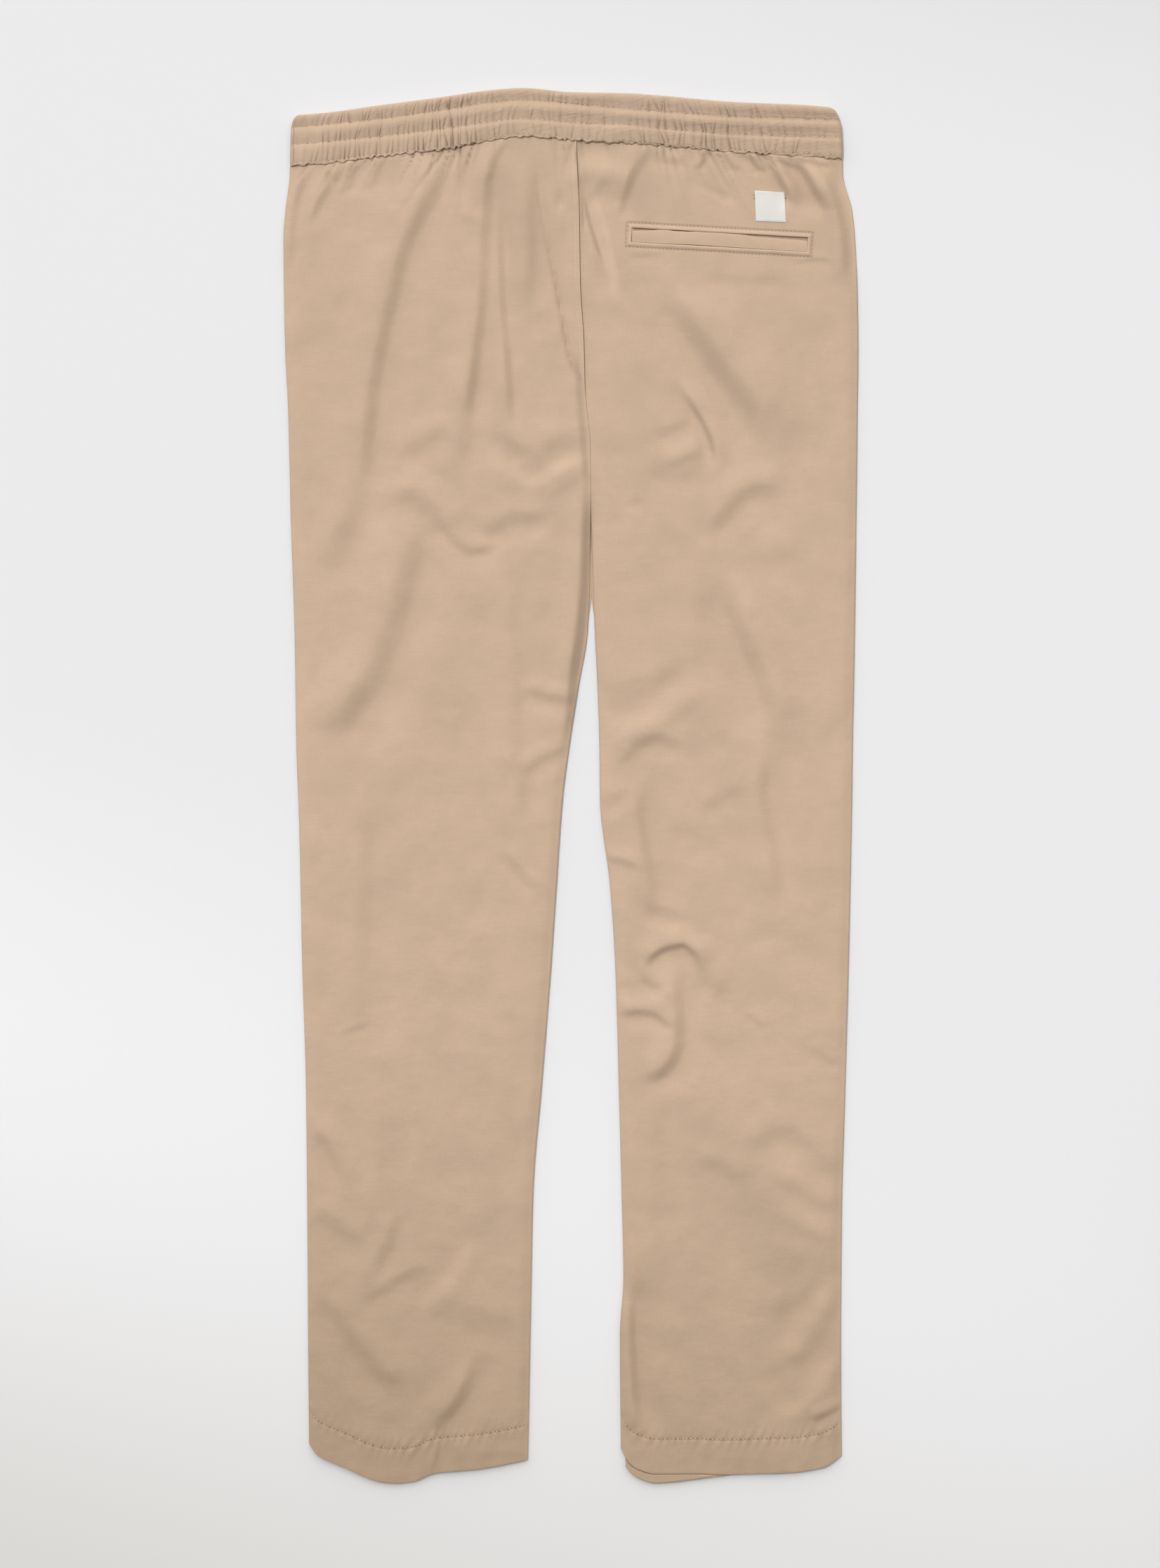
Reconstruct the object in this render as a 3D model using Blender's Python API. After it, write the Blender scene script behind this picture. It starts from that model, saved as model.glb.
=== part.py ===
"""Pull-on trousers with an elastic waist, laid flat with the back side up.

X runs across the garment, Y up it from the hems to the waist, and Z up from the surface that it
lies on. The origin is under the middle of the garment. Tables and sizes are in millimetres: x is
measured from the middle, and down is measured along the garment from its highest point.

The two front panels lie flat on the surface and the two back panels lie on them. The elastic
waistband is one flattened ring across all four. Every piece is a closed wall of cloth.
"""

import math
from collections import namedtuple

import bmesh
import bpy
import numpy as np
from mathutils import Matrix, Vector
from mathutils.bvhtree import BVHTree

MM = 0.001

# Driving dimensions, in millimetres.
LENGTH = 1111.0  # waist to hems
WALL = 1.2  # the cloth of a panel
HEM_EXTRA = 0.6  # a turned hem is thicker by this
HEM_HEIGHT = 28.0  # stitch row to hem edge
HEM_RISE = 20.0  # over which a back panel climbs onto the front panel's hem
HEM_RISE_END = 4.0  # from the end of that climb to the hem's step
SEAM_GAP = 0.3  # between two pieces at a seam, or lying on each other
EDGE_RADIUS = 13.0  # over which a back panel bends down to a side
LEAST_LOFT = 0.3  # least height of a back panel's underside over its rest height

# The outer sides of the two legs.
Side = namedtuple("Side", "down left right")
SIDES = (
    Side(0.0, -224.0, 216.7),
    Side(66.0, -224.0, 216.7),
    Side(97.0, -227.4, 224.0),
    Side(119.0, -229.0, 226.4),
    Side(164.0, -228.6, 228.4),
    Side(210.0, -227.6, 229.0),
    Side(254.0, -225.4, 228.4),
    Side(343.0, -223.2, 227.4),
    Side(433.0, -220.2, 226.2),
    Side(522.0, -218.8, 224.6),
    Side(590.0, -216.4, 223.6),
    Side(702.0, -214.0, 221.2),
    Side(791.0, -211.2, 218.8),
    Side(903.0, -210.0, 215.8),
    Side(1015.0, -209.2, 215.2),
    Side(1111.0, -208.2, 216.2),
)

# The middle: the seat seam down to the crotch, and the inner sides of the legs below it.
Middle = namedtuple("Middle", "down left_leg right_leg")
CROTCH_DOWN = 325.0
CROTCH_REACH = 60.0  # below the crotch, over which the legs' inner sides begin to bend down
MIDDLE = (
    Middle(0.0, 4.2, 4.2),
    Middle(46.0, 4.6, 4.6),
    Middle(102.0, 6.7, 6.7),
    Middle(152.0, 7.4, 7.4),
    Middle(204.0, 10.4, 10.4),
    Middle(237.0, 11.2, 11.2),
    Middle(288.0, 15.6, 15.6),
    Middle(325.0, 15.8, 15.8),
    Middle(388.0, 15.4, 17.4),
    Middle(433.0, 13.4, 19.0),
    Middle(478.0, 6.0, 21.2),
    Middle(522.0, -0.8, 22.6),
    Middle(568.0, -6.6, 23.2),
    Middle(634.0, -11.2, 31.0),
    Middle(702.0, -15.8, 35.4),
    Middle(791.0, -22.8, 38.0),
    Middle(881.0, -30.0, 40.4),
    Middle(948.0, -31.4, 41.8),
    Middle(993.0, -32.2, 39.0),
    Middle(1111.0, -34.4, 40.2),
)

# The waistband's edges and its three rows of stitching, down from the highest point.
Band = namedtuple("Band", "x top row_1 row_2 row_3 bottom")
BAND = (
    Band(-224.0, 22.0, 32.0, 45.4, 60.3, 62.7),
    Band(-196.0, 19.8, 29.4, 43.2, 58.4, 61.2),
    Band(-156.0, 14.3, 25.4, 39.2, 53.2, 56.0),
    Band(-96.0, 6.3, 16.8, 31.7, 46.6, 49.2),
    Band(-70.0, 2.4, 12.4, 28.0, 41.2, 43.8),
    Band(-38.0, 0.0, 10.0, 24.6, 36.8, 39.4),
    Band(1.0, 3.4, 12.7, 27.6, 39.9, 42.5),
    Band(44.0, 4.2, 16.6, 29.2, 42.2, 44.8),
    Band(68.0, 5.8, 18.4, 31.8, 43.9, 46.5),
    Band(131.0, 11.2, 22.9, 36.5, 49.3, 52.0),
    Band(186.0, 13.6, 24.6, 38.4, 52.0, 55.4),
    Band(216.7, 16.4, 25.4, 39.2, 53.4, 57.2),
)
Inset = namedtuple("Inset", "edge left right")
BAND_END_INSETS = (  # the ends of the band's rolled top lie inside the ends of the rest
    Inset("top", 9.0, 7.0),
    Inset("row_1", 3.4, 4.4),
    Inset("row_2", 1.2, 1.0),
    Inset("row_3", 0.4, 0.4),
    Inset("bottom", 0.8, 0.8),
)
BAND_UNDER_WALL = 3.0  # its lower layer, which lies flat
BAND_SLOT = 0.8  # between its two layers
BAND_SEAM_WALL = 1.9  # its upper layer at a row of stitching
BAND_EDGE_WALL = 1.3  # its upper layer at the top and bottom edge
BAND_END_STEPS = 4  # straight pieces in each turn from one layer to the other
BAND_UNDER_COLUMNS = 44
Channel = namedtuple("Channel", "above below puff")
CHANNELS = (
    Channel("top", "row_1", 3.0),
    Channel("row_1", "row_2", 2.6),
    Channel("row_2", "row_3", 2.4),
)
CHANNEL_SHOULDERS = (0.27, 0.73)  # where across a channel its puff is modelled
GATHERS = 66
GATHER_DEPTH = 0.42  # share of the puff that is lost in a gather's valley
GATHER_DRIFT = 0.34  # how far, in gathers, the spacing wanders from even

# The hems, as the lower edge of each layer.
Hem = namedtuple("Hem", "x down")
HEM_LEFT = (
    Hem(-209.0, 1079.0),
    Hem(-202.0, 1088.5),
    Hem(-189.0, 1095.0),
    Hem(-175.0, 1101.0),
    Hem(-162.0, 1107.0),
    Hem(-148.0, 1110.6),
    Hem(-138.0, 1111.0),
    Hem(-126.0, 1109.8),
    Hem(-108.0, 1103.0),
    Hem(-74.0, 1099.8),
    Hem(-34.0, 1092.4),
)
HEM_RIGHT_FRONT = (
    Hem(40.0, 1091.0),
    Hem(46.5, 1101.5),
    Hem(53.0, 1106.8),
    Hem(67.0, 1111.0),
    Hem(80.0, 1110.2),
    Hem(100.0, 1107.7),
    Hem(120.0, 1106.0),
    Hem(150.0, 1103.4),
    Hem(174.0, 1103.0),
    Hem(201.0, 1098.6),
    Hem(216.0, 1089.0),
)
HEM_RIGHT_BACK = (
    Hem(40.0, 1084.0),
    Hem(46.5, 1095.0),
    Hem(53.0, 1099.6),
    Hem(67.0, 1103.4),
    Hem(80.0, 1103.4),
    Hem(100.0, 1102.2),
    Hem(120.0, 1101.6),
    Hem(150.0, 1101.2),
    Hem(174.0, 1101.4),
    Hem(201.0, 1097.4),
    Hem(216.0, 1088.0),
)

# How high the back panels lie over the front panels.
Loft = namedtuple("Loft", "down height")
LOFTS = (
    Loft(36.0, 2.6),
    Loft(72.0, 3.2),
    Loft(150.0, 3.7),
    Loft(300.0, 3.8),
    Loft(430.0, 3.6),
    Loft(700.0, 3.3),
    Loft(950.0, 3.2),
    Loft(1040.0, 2.8),
    Loft(1111.0, 2.0),
)

# The largest folds of the back panels. A height over zero is a ridge, under zero a trough.
Fold = namedtuple("Fold", "place height half_width path")
FOLDS = (
    Fold("seat left, long", -2.6, 16.0, ((-105, 50), (-130, 130), (-158, 242), (-175, 343), (-192, 377))),
    Fold("seat left, middle", -2.4, 13.0, ((-69, 83), (-72, 150), (-77, 242), (-86, 307))),
    Fold("seat left, inner", -2.0, 11.0, ((-58, 60), (-55, 170), (-46, 256), (-32, 301))),
    Fold("seat left, short", -1.6, 10.0, ((-33, 50), (-30, 130), (-27, 181), (-44, 195))),
    Fold("seat seam, slope", -1.5, 10.0, ((-27, 77), (-18, 116), (-7, 172), (7, 228))),
    Fold("seat seam, wedge", -2.2, 10.0, ((5, 54), (12, 94), (24, 142))),
    Fold("seat seam, crest", 2.0, 12.0, ((11, 74), (24, 114), (35, 158))),
    Fold("seat right, wide crest", 1.6, 20.0, ((20, 158), (21, 220), (18, 293))),
    Fold("seat right, gather", -2.0, 10.0, ((60, 52), (49, 72), (40, 94), (32, 111))),
    Fold("seat right, broad", -2.2, 20.0, ((77, 147), (94, 181), (116, 209), (136, 251), (158, 298))),
    Fold("seat right, sharp", -1.8, 10.0, ((88, 242), (102, 262), (113, 284), (119, 312))),
    Fold("seat right, sag", -1.8, 12.0, ((108, 346), (124, 335), (141, 321), (158, 324))),
    Fold("crotch left, crescent", -2.6, 12.0, ((-130, 326), (-108, 340), (-91, 363), (-63, 368))),
    Fold("thigh left, crest", 2.4, 16.0, ((-142, 343), (-153, 422), (-186, 483), (-212, 520))),
    Fold("thigh left, broad", -2.4, 18.0, ((-130, 385), (-144, 447), (-164, 489), (-189, 514))),
    Fold("thigh left, inner", -1.2, 12.0, ((-46, 371), (-43, 489), (-35, 570))),
    Fold("knee left", -1.4, 12.0, ((-161, 559), (-164, 629), (-169, 741))),
    Fold("shin left, upright", -1.6, 12.0, ((-147, 842), (-144, 903), (-153, 945))),
    Fold("shin left, slope", -2.2, 13.0, ((-192, 965), (-175, 996), (-158, 1015), (-133, 1033))),
    Fold("shin left, short", -1.8, 10.0, ((-164, 968), (-147, 954), (-125, 942))),
    Fold("ankle left, level", -1.8, 12.0, ((-108, 973), (-74, 968), (-41, 982))),
    Fold("ankle left, crest", 1.8, 13.0, ((-116, 976), (-86, 931))),
    Fold("hem left", -1.8, 12.0, ((-72, 1007), (-80, 1040), (-100, 1057), (-112, 1099))),
    Fold("thigh right, crescent", -2.4, 12.0, ((43, 536), (54, 522), (68, 517), (85, 526))),
    Fold("thigh right, crest", 2.0, 14.0, ((35, 511), (66, 500), (91, 472))),
    Fold("thigh right, long", -2.2, 16.0, ((133, 422), (158, 503), (155, 545), (158, 587), (169, 637))),
    Fold("knee right, broad", -1.6, 16.0, ((57, 581), (63, 629), (80, 665))),
    Fold("knee right, crescent", -2.2, 11.0, ((66, 690), (80, 683), (96, 685), (110, 713))),
    Fold("calf right, arch", -2.0, 10.0, ((46, 735), (63, 735), (77, 744))),
    Fold("calf right, long", -2.0, 11.0, ((85, 730), (88, 758), (82, 777), (68, 790), (68, 853), (72, 945))),
    Fold("shin right, arch", -2.2, 11.0, ((147, 842), (164, 830), (178, 836), (194, 853), (211, 870))),
    Fold("shin right, crest", 2.0, 11.0, ((164, 846), (189, 869), (211, 883))),
    Fold("ankle right", -1.8, 12.0, ((178, 1015), (194, 990), (206, 973))),
    Fold("hem right, crest", 1.6, 13.0, ((172, 1060), (206, 1024))),
)
FOLD_STEPS = 5  # straight pieces between two points of a fold
FOLD_TAPER = 0.3  # share of a fold's length over which each end runs out
FOLD_END = 0.35  # how far into that taper a fold begins

# The grid of a back panel: shares of the width from the seat seam to the side.
BACK_COLUMNS = (0.0, 0.022, 0.055, *np.linspace(0.1, 0.9, 16).round(4), 0.945, 0.978, 1.0)
BACK_ROWS = 46
FRONT_COLUMNS = tuple(np.linspace(0.0, 1.0, 21).round(4))
FRONT_ROWS = 34
LEVEL_ANGLE = math.radians(0.02)  # faces that meet flatter than this are one face
ROWS_FROM, ROWS_TO = 50.0, 1105.0  # nominal ends of a panel, before its own edges are followed
EDGE_REACH = 110.0  # how far down a panel its rows follow its top edge, and up it the hem
PLAN_PASSES = 8  # times that a grid's x and down are fitted to each other
TOP_ROWS = (0.0, 8.0, 17.0, 29.0)  # rows close under the waistband
HEM_ROWS = (-29.6, -27.0, -13.0, -3.5, 0.0)  # rows at the hem's step, inside it and at its edge

# The back pocket: a window in the right panel, with a folded strip that fills it from behind.
POCKET_X, POCKET_DOWN = 118.3, 121.1
POCKET_TURN = math.radians(-3.2)
WINDOW_LENGTH, WINDOW_HEIGHT = 140.0, 11.6
WINDOW_CLEARANCE = 0.6  # between the strip's raised lip and the window
WELT_MARGIN = 4.0  # how far the strip reaches under the panel
WELT_MOUTH = 1.6  # the open slit over the strip's folded edge
WELT_WALL = 1.1
WELT_STEP = 0.45  # plan width of the step up to the lip
WELT_LIP = 0.96  # how far the lip stands up into the window
WELT_COLUMNS = 13

# The label.
LABEL_X, LABEL_DOWN = 159.0, 93.8
LABEL_TURN = math.radians(-2.5)
LABEL_WIDTH, LABEL_HEIGHT = 24.4, 23.8
LABEL_WALL = 0.6
LABEL_CELLS = 6

TWILL = (0.60, 0.475, 0.355)
TWILL_DARK = (0.56, 0.44, 0.325)
LABEL_WHITE = (0.66, 0.65, 0.62)
CLOTH_ROUGHNESS = 0.92
SHARP_ANGLE = math.radians(50.0)  # edges bent further than this are shaded sharp
OVERHEAD = 50.0  # a height over every piece


# ---------------------------------------------------------------- curves and folds

def smooth_step(t):
    """0 below 0, 1 above 1, and 3t^2 - 2t^3 between them."""
    t = np.clip(t, 0.0, 1.0)
    return t * t * (3.0 - 2.0 * t)


def curve(at, stations, values):
    """A smooth line through the values at the stations, flat where they turn, read at `at`."""
    stations = np.asarray(stations, float)
    values = np.asarray(values, float)
    at = np.clip(np.asarray(at, float), stations[0], stations[-1])
    spans = np.diff(stations)
    slopes = np.diff(values) / spans
    tangents = np.zeros_like(values)
    tangents[0], tangents[-1] = slopes[0], slopes[-1]
    before, after = slopes[:-1], slopes[1:]
    same_way = before * after > 0.0
    tangents[1:-1][same_way] = (2.0 * before * after)[same_way] / (before + after)[same_way]
    k = np.clip(np.searchsorted(stations, at, side="right") - 1, 0, len(spans) - 1)
    t = (at - stations[k]) / spans[k]
    return (
        values[k] * (1.0 + 2.0 * t) * (1.0 - t) ** 2
        + tangents[k] * spans[k] * t * (1.0 - t) ** 2
        + values[k + 1] * t * t * (3.0 - 2.0 * t)
        + tangents[k + 1] * spans[k] * t * t * (t - 1.0)
    )


def column(table, at_name, value_name, at):
    """One named column of a table, read as a smooth line over another."""
    return curve(at, [getattr(row, at_name) for row in table], [getattr(row, value_name) for row in table])


def band_edge(name, x):
    """How far down one of the waistband's edges or stitch rows runs at x."""
    return column(BAND, "x", name, x)


def fold_line(path):
    """A fold's centre line as short straight pieces through its points."""
    points = np.asarray(path, float)
    stations = np.arange(len(points))
    at = np.linspace(0.0, len(points) - 1.0, (len(points) - 1) * FOLD_STEPS + 1)
    return np.column_stack([curve(at, stations, points[:, 0]), curve(at, stations, points[:, 1])])


def fold_height(fold, x, down):
    """What one fold adds at each point: its height times (1 - q^2)^2, q the distance in half widths."""
    line = fold_line(fold.path)
    starts, runs = line[:-1], np.diff(line, axis=0)
    lengths = np.hypot(runs[:, 0], runs[:, 1])
    reached = np.concatenate([[0.0], np.cumsum(lengths)[:-1]])
    nearest = np.full(x.shape, np.inf)
    share = np.zeros(x.shape)
    for start, run, length, so_far in zip(starts, runs, lengths, reached):
        along = ((x - start[0]) * run[0] + (down - start[1]) * run[1]) / length**2
        along = np.clip(along, 0.0, 1.0)
        away = np.hypot(x - start[0] - along * run[0], down - start[1] - along * run[1])
        closer = away < nearest
        nearest = np.where(closer, away, nearest)
        share = np.where(closer, (so_far + along * length) / lengths.sum(), share)
    taper = smooth_step(np.minimum(share, 1.0 - share) / FOLD_TAPER + FOLD_END)
    q = np.clip(nearest / fold.half_width, 0.0, 1.0)
    return fold.height * taper * (1.0 - q * q) ** 2


# ---------------------------------------------------------------- panels

Panel = namedtuple("Panel", "name side inner hem")
BACK_LEFT = Panel("back_left", "left", "left_leg", HEM_LEFT)
BACK_RIGHT = Panel("back_right", "right", "right_leg", HEM_RIGHT_BACK)
FRONT_LEFT = Panel("front_left", "left", "left_leg", HEM_LEFT)
FRONT_RIGHT = Panel("front_right", "right", "right_leg", HEM_RIGHT_FRONT)


def outward(panel):
    """-1 for a left panel and 1 for a right one."""
    return -1.0 if panel.side == "left" else 1.0


def inner_x(panel, down):
    """The panel's edge at the seat seam or inside the leg, half a seam gap from the other panel."""
    return column(MIDDLE, "down", panel.inner, down) + outward(panel) * SEAM_GAP / 2


def outer_x(panel, down):
    """The panel's edge at the side of the garment."""
    return column(SIDES, "down", panel.side, down)


def panel_rows(count):
    """Nominal distances down a panel: close rows at both ends and even ones between them."""
    first = [ROWS_FROM + step for step in TOP_ROWS]
    last = [ROWS_TO + step for step in HEM_ROWS]
    between = np.linspace(first[-1], last[0], count + 2)[1:-1]
    return np.array([*first, *between, *last])


def panel_plan(panel, columns, rows):
    """x and down of each point of a panel's grid, with its own top edge, hem and sides."""
    share, nominal = np.meshgrid(np.array(columns), rows)
    near_top = 1.0 - smooth_step((nominal - ROWS_FROM) / EDGE_REACH)
    near_hem = smooth_step((nominal - ROWS_TO + EDGE_REACH) / EDGE_REACH)
    down = nominal.copy()
    for _ in range(PLAN_PASSES):
        x = inner_x(panel, down) + share * (outer_x(panel, down) - inner_x(panel, down))
        top_shift = band_edge("bottom", x) + SEAM_GAP - ROWS_FROM
        hem_shift = column(panel.hem, "x", "down", x) - ROWS_TO
        down = nominal + near_top * top_shift + near_hem * hem_shift
    return x, down


def in_hem(panel, x, down):
    """1 inside the turned hem and 0 above it."""
    return (down > column(panel.hem, "x", "down", x) - HEM_HEIGHT).astype(float)


def back_underside(panel, x, down):
    """How high a back panel's underside lies: its loft and folds, bent down to the open sides."""
    over_hem_step = down - column(panel.hem, "x", "down", x) + HEM_HEIGHT + HEM_RISE + HEM_RISE_END
    rest = WALL + SEAM_GAP + HEM_EXTRA * smooth_step(over_hem_step / HEM_RISE)
    height = column(LOFTS, "down", "height", down)
    for fold in FOLDS:
        height = height + fold_height(fold, x, down)
    from_side = np.abs(x - outer_x(panel, down)) / EDGE_RADIUS
    from_inside = np.abs(x - inner_x(panel, down)) / EDGE_RADIUS
    open_inside = smooth_step((down - CROTCH_DOWN) / CROTCH_REACH)
    bend = np.sin(np.clip(from_side, 0.0, 1.0) * math.pi / 2)
    bend_inside = np.sin(np.clip(from_inside, 0.0, 1.0) * math.pi / 2)
    bend = bend * (1.0 - open_inside * (1.0 - bend_inside))
    return rest + bend * np.maximum(height, LEAST_LOFT)


def upright_wall(x, down, z, wall):
    """The upright thickness that gives a sloping sheet the same wall as a level one."""
    along_row = np.gradient(z, axis=1) / np.gradient(x, axis=1)
    down_panel = np.gradient(z, axis=0) / np.gradient(down, axis=0)
    return wall * np.sqrt(1.0 + np.minimum(along_row**2 + down_panel**2, 1.5))


def to_frame(x, down, z):
    """Points in metres from x, down and z in millimetres."""
    return np.stack([x, LENGTH / 2 - down, z], axis=-1) * MM


# ---------------------------------------------------------------- closed meshes

def add_object(name, mesh, colour):
    """An object with its own cloth material, shaded smooth but for its sharp edges."""
    material = bpy.data.materials.new(name + "_cloth")
    material.use_nodes = True
    surface = material.node_tree.nodes["Principled BSDF"]
    surface.inputs["Base Color"].default_value = (*colour, 1.0)
    surface.inputs["Roughness"].default_value = CLOTH_ROUGHNESS
    surface.inputs["Metallic"].default_value = 0.0
    mesh.materials.append(material)
    mesh.shade_smooth()
    mesh.set_sharp_from_angle(angle=SHARP_ANGLE)
    made = bpy.data.objects.new(name, mesh)
    bpy.context.scene.collection.objects.link(made)
    return made


def wall_mesh(name, upper, lower, flat=False):
    """A closed wall between two grids of points, joined by a rim all round.

    Level stretches of a flat wall are joined into single faces before they are cut into triangles.
    """
    rows, columns = upper.shape[:2]
    count = rows * columns
    index = np.arange(count).reshape(rows, columns)
    corners = [index[:-1, :-1], index[1:, :-1], index[1:, 1:], index[:-1, 1:]]
    over = np.stack([corner.ravel() for corner in corners], axis=1)
    under = over[:, ::-1] + count
    ring = np.concatenate([index[0, :-1], index[:-1, -1], index[-1, :0:-1], index[:0:-1, 0]])
    following = np.roll(ring, -1)
    rim = np.stack([ring, following, following + count, ring + count], axis=1)
    mesh = bpy.data.meshes.new(name)
    points = np.concatenate([upper.reshape(-1, 3), lower.reshape(-1, 3)])
    mesh.from_pydata(points.tolist(), [], np.concatenate([over, under, rim]).tolist())
    face_outwards(mesh, flat)
    return mesh


def face_outwards(mesh, flat=False):
    """Turns every face of a closed mesh outwards, and cuts its faces into triangles."""
    shape = bmesh.new()
    shape.from_mesh(mesh)
    bmesh.ops.recalc_face_normals(shape, faces=shape.faces)
    if flat:
        bmesh.ops.dissolve_limit(shape, angle_limit=LEVEL_ANGLE, verts=shape.verts, edges=shape.edges)
    bmesh.ops.triangulate(shape, faces=shape.faces, quad_method="SHORT_EDGE")
    if shape.calc_volume(signed=True) < 0.0:
        bmesh.ops.reverse_faces(shape, faces=shape.faces)
    shape.to_mesh(mesh)
    shape.free()


# ---------------------------------------------------------------- the pieces

def make_back(panel):
    """One back leg panel with its folds and its turned hem."""
    x, down = panel_plan(panel, BACK_COLUMNS, panel_rows(BACK_ROWS))
    under = back_underside(panel, x, down)
    wall = WALL + HEM_EXTRA * in_hem(panel, x, down)
    over = under + upright_wall(x, down, under, wall)
    mesh = wall_mesh(panel.name, to_frame(x, down, over), to_frame(x, down, under))
    return add_object(panel.name, mesh, TWILL)


def make_front(panel):
    """One front leg panel, flat on the surface, with its turned hem."""
    x, down = panel_plan(panel, FRONT_COLUMNS, panel_rows(FRONT_ROWS))
    over = WALL + HEM_EXTRA * in_hem(panel, x, down)
    under = np.zeros_like(x)
    mesh = wall_mesh(panel.name, to_frame(x, down, over), to_frame(x, down, under), flat=True)
    return add_object(panel.name, mesh, TWILL_DARK)


def gather_columns():
    """Shares of the waistband's width at each gather's crest and valley, unevenly spaced."""
    even = np.arange(2 * GATHERS + 1) / (2.0 * GATHERS)
    drift = 0.6 * np.sin(2.0 * math.pi * 5.3 * even) + 0.4 * np.sin(2.0 * math.pi * 13.7 * even + 1.1)
    ends = np.sin(math.pi * even)
    return even + GATHER_DRIFT / GATHERS * drift * ends


BandRow = namedtuple("BandRow", "above below share wall puff")


def band_wall_rows():
    """The waistband's rows from top to bottom, each a share of the way between two of its edges."""
    rows = [BandRow("top", "top", 0.0, BAND_EDGE_WALL, 0.0)]
    for channel in CHANNELS:
        for share in CHANNEL_SHOULDERS:
            rows.append(BandRow(channel.above, channel.below, share, BAND_SEAM_WALL, channel.puff))
        rows.append(BandRow(channel.below, channel.below, 0.0, BAND_SEAM_WALL, 0.0))
    rows.append(BandRow("bottom", "bottom", 0.0, BAND_EDGE_WALL, 0.0))
    return rows


def band_ring(row):
    """Outer and inner points round the waistband along one of its rows."""
    insets = {inset.edge: inset for inset in BAND_END_INSETS}
    above, below = insets[row.above], insets[row.below]
    left = BAND[0].x + (1.0 - row.share) * above.left + row.share * below.left
    right = BAND[-1].x - (1.0 - row.share) * above.right - row.share * below.right
    along = gather_columns()
    valley = np.arange(len(along)) % 2
    inner_top = BAND_UNDER_WALL + BAND_SLOT
    over = inner_top + row.wall + row.puff * (1.0 - GATHER_DEPTH * valley)
    half = over[[0, -1]] / 2.0  # half of the ring's height at its two ends
    slot_middle = BAND_UNDER_WALL + BAND_SLOT / 2
    start, end = left + half[0], right - half[1]
    top_x = start + along * (end - start)
    under_x = np.linspace(end, start, BAND_UNDER_COLUMNS)
    turn = np.linspace(0.0, math.pi, BAND_END_STEPS + 1)[1:-1]
    outer_xs = [top_x, end + half[1] * np.sin(turn), under_x, start - half[0] * np.sin(turn)]
    outer_zs = [
        over,
        half[1] * (1.0 + np.cos(turn)),
        np.zeros(BAND_UNDER_COLUMNS),
        half[0] * (1.0 - np.cos(turn)),
    ]
    slot_round = BAND_SLOT / 2
    inner_xs = [top_x, end + slot_round * np.sin(turn), under_x, start - slot_round * np.sin(turn)]
    inner_zs = [
        np.full(len(along), inner_top),
        slot_middle + slot_round * np.cos(turn),
        np.full(BAND_UNDER_COLUMNS, BAND_UNDER_WALL),
        slot_middle - slot_round * np.cos(turn),
    ]
    rings = []
    for xs, zs in ((outer_xs, outer_zs), (inner_xs, inner_zs)):
        x, z = np.concatenate(xs), np.concatenate(zs)
        down = (1.0 - row.share) * band_edge(row.above, x) + row.share * band_edge(row.below, x)
        rings.append(to_frame(x, down, z))
    return rings


def make_waistband():
    """The flattened ring of the waistband: puffed, gathered channels over a plain inside."""
    rows = [band_ring(row) for row in band_wall_rows()]
    loops = [outer for outer, _ in rows] + [rows[-1][1], rows[0][1]]
    points = np.array(loops)
    count, round_ = points.shape[:2]
    index = np.arange(count * round_).reshape(count, round_)
    below, after = np.roll(index, -1, axis=0), np.roll(index, -1, axis=1)
    corner = np.roll(below, -1, axis=1)
    faces = np.stack([f.ravel() for f in (index, below, corner, after)], axis=1)
    mesh = bpy.data.meshes.new("waistband")
    mesh.from_pydata(points.reshape(-1, 3).tolist(), [], faces.tolist())
    face_outwards(mesh)
    return add_object("waistband", mesh, TWILL)


def tree_of(made):
    """A search tree over a piece's faces."""
    mesh = made.data
    corners = [vertex.co for vertex in mesh.vertices]
    return BVHTree.FromPolygons(corners, [tuple(face.vertices) for face in mesh.polygons])


def local_plan(along, across, x, down, turn):
    """x and down of points given along and across a patch that is turned on the panel."""
    along, across = np.meshgrid(along, across)
    new_x = x + along * math.cos(turn) - across * math.sin(turn)
    new_down = down - along * math.sin(turn) - across * math.cos(turn)
    return new_x, new_down


def surface_of(tree, x, down, from_above):
    """The height of a piece's upper or lower face over each point, in millimetres."""
    start, way = (OVERHEAD, -1.0) if from_above else (0.0, 1.0)
    points = to_frame(x, down, np.full_like(x, start)).reshape(-1, 3)
    heights = [tree.ray_cast(Vector(point), Vector((0.0, 0.0, way)))[0].z for point in points]
    return np.array(heights).reshape(x.shape) / MM


def cut_pocket_window(back):
    """Cuts the pocket's window through the right back panel."""
    bpy.ops.mesh.primitive_cube_add(size=1.0)
    cutter = bpy.context.active_object
    cutter.name = "pocket_window_cutter"
    place = Vector(to_frame(POCKET_X, POCKET_DOWN, 0.0))
    size = Matrix.Diagonal((WINDOW_LENGTH * MM, WINDOW_HEIGHT * MM, 2.0 * OVERHEAD * MM, 1.0))
    cutter.data.transform(Matrix.Translation(place) @ Matrix.Rotation(POCKET_TURN, 4, "Z") @ size)
    cutter.hide_render = True
    cutter.display_type = "WIRE"
    cut = back.modifiers.new("pocket_window", "BOOLEAN")
    cut.operation = "DIFFERENCE"
    cut.solver = "EXACT"
    cut.object = cutter


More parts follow.
